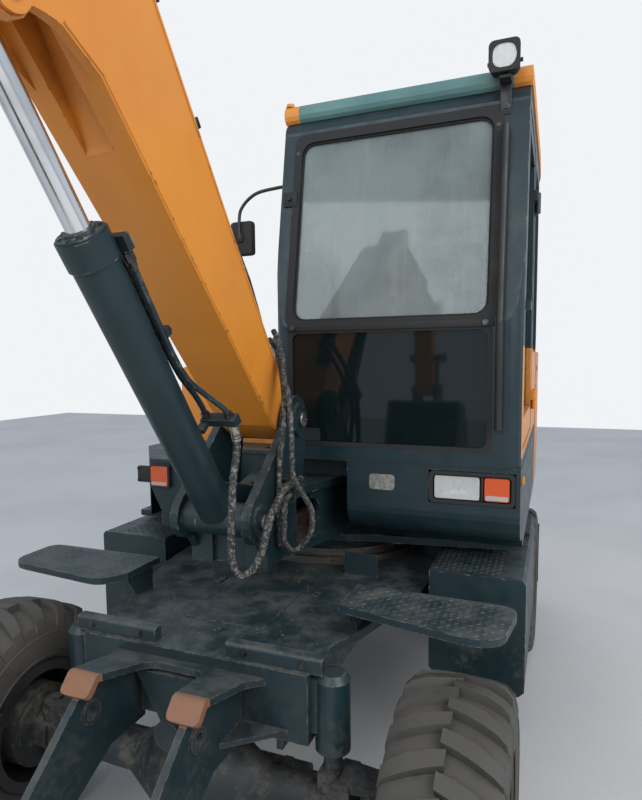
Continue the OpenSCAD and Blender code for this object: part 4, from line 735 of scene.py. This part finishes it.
slab(bm, facing(551, 801, 2730, 879, 2808, 29), (3, 0, 0))
built("work_lamp_lens", bm, clear_lens, "upper")
bm = bmesh.new()
border(bm, facing(618.5, 371, 1224, 471, 1284, 14), facing(618.5, 378, 1231, 464, 1277, 9), (5, 0, 0))
slab(bm, facing(618.5, 377, 1230, 465, 1278, 9), (3, 0, 0))
built("name_plate_border", bm, zinc, "upper")

# Seat in the cab
# Foam pads in woven cloth on a steel suspension. Covers are sewn along seams, and the foam swells between.


def fabric(name, base, second):
    """Woven seat cloth with a raised weave and worn patches."""
    material, tree, skin = shader(name)
    spot = node(tree, "TexCoord").outputs["Object"]
    threads = {"Vector": spot, "Scale": 240.0, "Distortion": 0.4}
    warp, weft = (node(tree, "TexWave", threads, bands_direction=way).outputs["Fac"]
                  for way in ("Y", "DIAGONAL"))
    weave = sums(tree, "MULTIPLY", warp, weft)
    worn = ramp(tree, noise(tree, spot, 9, 5), 0.45, 0.7, 0, 0.5)
    colour = tint(tree, worn, tint(tree, weave, base, second), tuple(1.5 * c for c in second))
    skin.inputs["Sheen Weight"].default_value = 0.3
    dress(tree, skin, colour, 0.92, weave, 0.5)
    return material


def finished(obj):
    """The object with its modifiers worked in."""
    return obj.evaluated_get(bpy.context.evaluated_depsgraph_get())


def plump(name, low, high, lean, seams, cap):
    """A sewn pad: a rounded box blown up as cloth between its seams; no point moves over cap, in mm."""
    grain, pressure, frames = 0.006, 4.0, 20
    start = bmesh.new()
    block(start, low, high, 26)
    for v in start.verts:
        v.co.x += lean * (v.co.z - low[2] / 1000)
    shape = bpy.data.meshes.new(name)
    start.to_mesh(shape)
    start.free()
    made = link(bpy.data.objects.new(name, shape))
    even = made.modifiers.new("Remesh", "REMESH")
    even.mode, even.voxel_size = "VOXEL", grain
    made.data = bpy.data.meshes.new_from_object(finished(made))
    made.modifiers.clear()
    rest = [v.co.copy() for v in made.data.vertices]
    group = made.vertex_groups.new(name="seam")
    held = [i for i, c in enumerate(rest) if seams(c.x * 1000 + MIDDLE_X, c.y * 1000, c.z * 1000)]
    group.add(held, 1.0, "REPLACE")
    cover = made.modifiers.new("Cloth", "CLOTH")
    cover.settings.use_pressure, cover.settings.uniform_pressure_force = True, pressure
    cover.settings.effector_weights.gravity = 0.0
    cover.settings.vertex_group_mass = "seam"
    cover.point_cache.frame_start, cover.point_cache.frame_end = 1, frames
    for k in range(frames):
        scene.frame_set(k + 1)
    ways = [v.co - c for v, c in zip(finished(made).data.vertices, rest)]
    made.modifiers.clear()
    for v, c, way in zip(made.data.vertices, rest, ways):
        v.co = c + way * min(1.0, cap / 1000 / max(way.length, 1e-9))
    made.data.shade_smooth()
    made.data.materials.clear()
    made.data.materials.append(cloth)
    finer = made.modifiers.new("Subdivision", "SUBSURF")
    finer.levels = finer.render_levels = 1
    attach(made, "upper")
    return made


cloth = fabric("seat_cloth", (0.030, 0.032, 0.036), (0.075, 0.08, 0.088))
SEAT_Y, BACK_LEAN, BACK_Z = 447.5, -0.09, 1770


def side_seam(y):
    return abs(abs(y - SEAT_Y) - 130) < 5


def cushion_seams(x, y, z):
    return z > 1750 and (side_seam(y) or abs(x + 250) < 5 or abs(x + 60) < 4)


def back_seams(x, y, z):
    in_front = x > -380 + BACK_LEAN * (z - BACK_Z)
    return in_front and (side_seam(y) or abs(z - 1960) < 4 or abs(z - 2140) < 4)


def headrest_seams(x, y, z):
    return abs(x + 465) < 4


cushion = plump("seat_cushion", (-366, SEAT_Y - 236, 1668), (106, SEAT_Y + 236, 1762), 0, cushion_seams, 12)
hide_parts("seat")
plump("seat_back", (-458, SEAT_Y - 226, BACK_Z), (-364, SEAT_Y + 226, 2318), BACK_LEAN, back_seams, 12)
plump("seat_headrest", (-500, SEAT_Y - 120, 2360), (-430, SEAT_Y + 120, 2520), -0.03, headrest_seams, 9)
# Bellows of the suspension, between a foot plate and the seat's pan
bm = bmesh.new()
block(bm, (-350, SEAT_Y - 200, 1375), (30, SEAT_Y + 200, 1400), 4)
for k in range(7):
    z, tuck = 1402 + 32 * k, 8 * (k % 2)
    block(bm, (-340 + tuck, SEAT_Y - 190 + tuck, z), (20 - tuck, SEAT_Y + 190 - tuck, z + 30), 9)
block(bm, (-350, SEAT_Y - 205, 1628), (60, SEAT_Y + 205, 1656), 5)
for y in (-60, 60):
    rod(bm, (-462, SEAT_Y + y, 2300), (-466, SEAT_Y + y, 2380), 7)
for s in (-1, 1):
    rod(bm, (-400, SEAT_Y + s * 212, 1690), (-400, SEAT_Y + s * 240, 1690), 34, 30)
built("seat_base", bm, plastic, "upper")

# Controls in the cab
# Moulded grips with a rubber boot at each lever's foot, and two pedals with ribbed rubber.
bm = bmesh.new()
for s in (-1, 1):
    y = SEAT_Y + s * 350
    for k in range(5):
        rod(bm, (230, y, 1896 + 9 * k), (230, y, 1904 + 9 * k), 38 - 5 * k, 34 - 5 * k)
    rod(bm, (230, y, 2070), (236, y, 2172), 24, 27)
    block(bm, (214, y - 18, 2150), (262, y + 18, 2180), 8)
for y in (372, 523):
    block(bm, (472, y - 42, 1392), (486, y + 42, 1500), 3, Matrix.Rotation(math.radians(-32), 3, "Y"))
    for k in range(5):
        x, z = 450 + 13 * k, 1412 + 17 * k
        rod(bm, (x, y - 36, z), (x, y + 36, z), 4, sides=8)
built("grips_and_pedals", bm, plastic, "upper")

# Mirror, roof knob and side marker
# A moulded mirror housing on a steel arm, clamped to the right-hand pillar. The small fittings are
# moulded too.


def smooth_line(points, steps=6):
    """A curve through all the points, with as many steps between each two."""
    points = [Vector(p) for p in points]
    ends = [points[0], *points, points[-1]]
    line = []
    for i in range(len(points) - 1):
        a, b, c, d = ends[i:i + 4]
        for k in range(steps):
            t = k / steps
            curve = (2 * a - 5 * b + 4 * c - d) * t * t + (3 * b - a - 3 * c + d) * t ** 3
            line.append(0.5 * (2 * b + (c - a) * t + curve))
    return line + [points[-1]]


def swept(bm, points, radius, sides=14):
    """A round tube along a smooth line; places and radius in mm."""
    line = smooth_line(points)
    rings, u = [], Vector((0.31, 0.17, 0.94))
    for i, p in enumerate(line):
        way = (line[min(i + 1, len(line) - 1)] - line[max(i - 1, 0)]).normalized()
        u = (u - u.dot(way) * way).normalized() if rings else way.cross(u).normalized()
        v = way.cross(u)
        turns = [math.tau * k / sides for k in range(sides)]
        rings.append([bm.verts.new(at(*(p + radius * (math.cos(a) * u + math.sin(a) * v)))) for a in turns])
    for one, two in zip(rings, rings[1:]):
        for k in range(sides):
            bm.faces.new((one[k], one[(k + 1) % sides], two[(k + 1) % sides], two[k]))
    bm.faces.new(rings[0])
    bm.faces.new(rings[-1])


bm = bmesh.new()
block(bm, (428, -302, 2178), (472, -194, 2324), 14)
block(bm, (474, -262, 2234), (486, -234, 2270), 4)
rod(bm, (432, -30, 2470), (432, 4, 2470), 16)
built("mirror_housing", bm, plastic, "upper")
bm = bmesh.new()
swept(bm, [(480, -6, 2440), (480, -70, 2440), (482, -170, 2425),
           (484, -236, 2370), (484, -248, 2300), (484, -248, 2245)], 7, sides=12)
block(bm, (470, -32, 2415), (492, 2, 2466), 3)
built("mirror_arm", bm, black_paint, "upper")
bm = bmesh.new()
slab(bm, facing(425, -294, 2185, -202, 2317, 12), (4, 0, 0))
built("mirror_glass", bm, mirror_silver, "upper")
bm = bmesh.new()
rod(bm, (430, -22, 2738), (430, -22, 2770), 15, 13)
rod(bm, (430, -22, 2770), (430, -22, 2784), 19, 16)
block(bm, (544, 923, 1264), (578, 935, 1294), 3)
built("orange_marks", bm, orange, "upper")

# Right-hand body, engine hood and tail lamps
# Pressed panels with louvres, dark joints and flush latches. The exhaust's pipe bends backwards on the body;
# the tail lamps sit in the round back of the cast counterweight.


def sideways(y, *shape):
    return [(x, y, z) for x, z in rounded(*shape)]


bm = bmesh.new()
for k in range(11):
    z = 1290 + 26 * k
    block(bm, (-690, -929, z), (-330, -921, z + 9), 2)
border(bm, sideways(-925, -712, 1268, -308, 1582, 16), sideways(-925, -704, 1276, -316, 1574, 12), (0, -3, 0))
border(bm, sideways(-924, -850, 1010, -60, 1650, 20), sideways(-924, -846, 1014, -64, 1646, 18), (0, -2, 0))
for z in (1180, 1500):
    block(bm, (-118, -931, z), (-88, -922, z + 70), 3)
built("body_grilles", bm, plastic, "upper")
bm = bmesh.new()
for k in range(9):
    block(bm, (-1370 + 34 * k, -260, 1748), (-1358 + 34 * k, 260, 1755), 2)
border(bm, lying(1749, -1395, -285, -1062, 285, 20), lying(1749, -1387, -277, -1070, 277, 16), (0, 0, 3))
for s in (-1, 1):
    block(bm, (-1010, s * 921 - 6, 1640), (-960, s * 921 + 6, 1672), 3)
built("hood_grille", bm, plastic, "hood")
PIPE_X, PIPE_Y = -700, -640
bm = bmesh.new()
rod(bm, (PIPE_X, PIPE_Y, 1688), (PIPE_X, PIPE_Y, 1697), 58, 55, sides=40)
bend = [(0, 1692), (0, 1740), (-2, 1790), (-18, 1834), (-52, 1860)]
swept(bm, [(PIPE_X + x, PIPE_Y, z) for x, z in bend], 34, sides=28)
bolt_ring(bm, (PIPE_X, PIPE_Y, 1697), (1, 0, 0), (0, 1, 0), 4, 47, 5, shift=0.5)
built("exhaust_pipe", bm, digging, "upper")
TAIL_R, LAMP_Y, LAMP_SLANT = 1650, 690, 0.46
x = 4 - math.sqrt(TAIL_R ** 2 - LAMP_Y ** 2)
bm = bmesh.new()
for s in (-1, 1):
    for z, high in ((1180, 60), (1250, 50)):
        outline = rounded(-50, z, 50, z + high, 10)
        slab(bm, [(x + LAMP_SLANT * c, s * (LAMP_Y + c), d) for c, d in outline], (-12, 0, 0))
built("tail_lamps", bm, red_lens, "upper")

# Swing post's pins
# Hardened pins with a grease nipple on each end, held by two keeper bolts on each cheek of the swing post.
BOOM_FOOT, CYL_FOOT = Vector((800, 0, 1505)), Vector((1120, 0, 1200))
# Each pin's place, half its length and where its keeper bolts lie beside it
PINS = (BOOM_FOOT.xz, 172, (-34, 26)), (CYL_FOOT.xz, 168, (30, -34))
bm = bmesh.new()
for (x, z), half, _ in PINS:
    for s in (-1, 1):
        rod(bm, (x, s * half, z), (x, s * (half + 5), z), 26, 23, sides=36)
        rod(bm, (x, s * (half + 4), z), (x, s * (half + 12), z), 5, sides=6)
        rod(bm, (x, s * (half + 11), z), (x, s * (half + 17), z), 3, 2)
built("pin_ends", bm, digging, "post")
bm = bmesh.new()
for (x, z), half, (dx, dz) in PINS:
    for s in (-1, 1):
        for k in (-1, 1):
            bolt(bm, (x + dx + 10 * k, s * (half - 11), z + dz + 14 * k), (0, s, 0), 6)
for x in (918, 942):
    bolt(bm, (x, 206, 1277), (0, 1, 0), 8)
built("post_bolts", bm, bolt_steel, "post")
# Bolted cap of the upright swing pin
SWING_X = 820
bm = bmesh.new()
rod(bm, (SWING_X, 0, 1237), (SWING_X, 0, 1249), 74, 68, sides=40)
bolt_ring(bm, (SWING_X, 0, 1248), (1, 0, 0), (0, 1, 0), 6, 56, 8)
built("swing_pin_cap", bm, teal_deck, "upper")

# Boom and the hoses on its back
# A box welded from plate. Steel clamps, each with one bolt, hold the pair of hoses on its back.


def rising(degrees):
    return Vector((math.cos(math.radians(degrees)), 0, math.sin(math.radians(degrees))))


BOOM_TIP = BOOM_FOOT + 3030 * rising(30.4)
BACK_FOOT = BOOM_FOOT + 78 * rising(100)
BACK_WAY = (BOOM_FOOT + Vector((930, 0, 1350)) - BACK_FOOT).normalized()
BACK_OUT = Vector((-BACK_WAY.z, 0, BACK_WAY.x))
HOSE_PAIR_Y = 71


def on_back(s, off, y):
    return BACK_FOOT + s * BACK_WAY + off * BACK_OUT + Vector((0, y, 0))


bm = bmesh.new()
turn = Matrix.Rotation(-math.atan2(BACK_WAY.z, BACK_WAY.x), 3, "Y")
for s in (980, 1280, 1420):
    p, half = on_back(s, 23, HOSE_PAIR_Y), Vector((15, 30, 2))
    block(bm, p - half, p + half, 1.5, turn)
    for y in (-26, 26):
        p, half = on_back(s, 11, HOSE_PAIR_Y + y), Vector((15, 2, 13))
        block(bm, p - half, p + half, 1.0, turn)
    bolt(bm, on_back(s, 25, HOSE_PAIR_Y), BACK_OUT, 6)
built("hose_clamps", bm, bolt_steel, "boom")

# Boom cylinder
# A honed barrel with a bolted gland at its head; two steel pipes run down it to the clamp of the hose.
CYL_ALONG = rising(54)
CYL_OUT = Vector((-CYL_ALONG.z, 0, CYL_ALONG.x))


def on_cylinder(along, y, off):
    return CYL_FOOT + along * CYL_ALONG + off * CYL_OUT + Vector((0, y, 0))


bm = bmesh.new()
rod(bm, on_cylinder(1006, 0, 0), on_cylinder(1022, 0, 0), 62, 60, sides=40)
rod(bm, on_cylinder(1020, 0, 0), on_cylinder(1030, 0, 0), 41, 38, sides=32)
bolt_ring(bm, on_cylinder(1021, 0, 0), (0, 1, 0), CYL_OUT, 8, 50, 4.5)
built("cylinder_gland", bm, teal, "boom_barrel")
bm = bmesh.new()
for y in (40, 62, 118):
    bolt(bm, on_cylinder(346, y - 4, 122), CYL_OUT, 5)
for along, y, off in ((703, 30, 74), (703, 62, 74), (961, 47, 76)):
    bolt(bm, on_cylinder(along, y, off), CYL_OUT, 6)
for y, off in ((36, 62), (60, 54)):
    rod(bm, on_cylinder(938, y, off), on_cylinder(916, y, off), 14, sides=6)
    rod(bm, on_cylinder(916, y, off), on_cylinder(900, y, off), 12, 10)
for y in (36, 118):
    rod(bm, on_cylinder(364, y, 103), on_cylinder(380, y, 103), 14, sides=6)
built("pipe_fittings", bm, bolt_steel, "boom_barrel")

# Hoses at the boom's foot
# Rubber hydraulic hoses with crimped zinc-plated ends. They loop from the boom and its cylinder to the swing
# post. Hose A comes from the cylinder and keeps its form; B and C run between the post and the boom, on no
# body.
hose_rubber = rubber("hose_rubber", (0.011, 0.011, 0.011), (0.05, 0.05, 0.047), 0.5, speckle=0.75)
coat(hose_rubber, "hose_loops hose_lines")
HOSE_A = [(1232, 122, 1530), (1216, 122, 1484), (1222, 122, 1430), (1246, 122, 1360), (1256, 122, 1270),
          (1258, 118, 1180), (1252, 118, 1105), (1238, 136, 1060), (1222, 170, 1075), (1206, 196, 1130),
          (1190, 206, 1190), (1150, 206, 1240), (1090, 200, 1266), (1020, 190, 1292), (961, 187, 1296)]
HOSE_B = [(850, 62, 1800), (866, 98, 1765), (893, 124, 1715), (930, 152, 1640), (962, 170, 1580),
          (988, 178, 1500), (1000, 168, 1400), (1000, 162, 1300), (1002, 162, 1200), (1004, 162, 1130),
          (1000, 162, 1092), (982, 162, 1082), (968, 162, 1096), (962, 162, 1130), (956, 162, 1180),
          (950, 162, 1242)]
HOSE_C = [(868, 88, 1830), (884, 116, 1790), (912, 140, 1740), (950, 162, 1676), (974, 190, 1600),
          (985, 204, 1500), (986, 206, 1400), (985, 210, 1325), (985, 250, 1262), (985, 275, 1215),
          (985, 274, 1150), (988, 240, 1092), (1000, 208, 1076), (1026, 192, 1110), (1028, 190, 1170),
          (1015, 188, 1225), (990, 187, 1256), (961, 187, 1262)]


def crimp(bm, end, before, r):
    """A crimped sleeve and its nut on a hose's last stretch."""
    end, way = Vector(end), (Vector(before) - Vector(end)).normalized()
    rod(bm, end, end + 15 * way, 1.3 * r, sides=6)
    rod(bm, end + 15 * way, end + 22 * way, 1.1 * r)
    for k in range(3):
        rod(bm, end + (22 + 11 * k) * way, end + (31 + 11 * k) * way, 1.32 * r, 1.24 * r)


bm = bmesh.new()
swept(bm, HOSE_A, 12)
hose_a = built("hose_a", bm, hose_rubber, "post")
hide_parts("hose_loops")
bm = bmesh.new()
swept(bm, HOSE_B, 10)
swept(bm, HOSE_C, 10)
hose_pair = built("hose_pair", bm, hose_rubber, None)
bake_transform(hose_pair)
# B's fitting is slim, so that it clears the frame when the boom swings fully
bm = bmesh.new()
crimp(bm, HOSE_A[-1], HOSE_A[-2], 12)
crimp(bm, HOSE_A[0], HOSE_A[1], 12)
crimp(bm, HOSE_B[-1], HOSE_B[-2], 8.4)
crimp(bm, HOSE_C[-1], HOSE_C[-2], 10)
built("hose_ends", bm, zinc, "post")

# Adapters behind the hose block
# Zinc-plated adapters and short steel pipes lead from the block on the swing post's ear back to the
# swing pin.
bm = bmesh.new()
for z in (1262, 1292):
    swept(bm, [(903, 178, z), (880, 176, z), (860, 173, z - 1), (838, 171, z - 2)], 9, sides=16)
    for x in (902, 852):
        rod(bm, (x, 177, z), (x - 15, 176, z), 14, sides=6)
built("post_adapters", bm, zinc, "post")

# Welds
# Box sections are welded from plate, with one bead inside each long edge of their side plates. The beads stop
# short of the pin at the boom's end, where the arm turns.


def weld(bm, name, pin, inset=9, least=90, clear=300, outer_zone=40):
    """Beads along the outer side plates' edges that are longer than least and clear of the pin, all in mm."""
    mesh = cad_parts[name].data
    edge_y = max(abs(v.co.y) for v in mesh.vertices) - outer_zone / 1000
    sides = {}
    for face in mesh.polygons:
        if abs(face.normal.y) > 0.999 and abs(face.center.y) > edge_y:
            for edge in face.edge_keys:
                sides.setdefault(edge, []).append(face)
    for (i, k), faces in sides.items():
        a, b = mesh.vertices[i].co, mesh.vertices[k].co
        if len(faces) > 1 or (b - a).length < least / 1000:
            continue
        if any((c - at(*pin)).xz.length < clear / 1000 for c in (a, b, (a + b) / 2)):
            continue
        way = (b - a).normalized()
        inward = faces[0].center - a
        inward = (inward - inward.dot(way) * way).normalized() * inset / 1000
        ends = [(c + inward) * 1000 + Vector((MIDDLE_X, 0, 0)) for c in (a, b)]
        out = Vector((0, 1 if faces[0].normal.y > 0 else -1, 0))
        rod(bm, ends[0] + 0.6 * out, ends[1] + 0.6 * out, 3.4, sides=8)


for name, body, paint, slot in (("boom", "boom", orange, "orange_paint"),
                                ("arm", "arm", orange, "orange_paint"),
                                ("upper_frame", "upper", teal, "teal_paint")):
    bm = bmesh.new()
    weld(bm, name, BOOM_TIP)
    built(name + "_weld_beads", bm, paint, body)
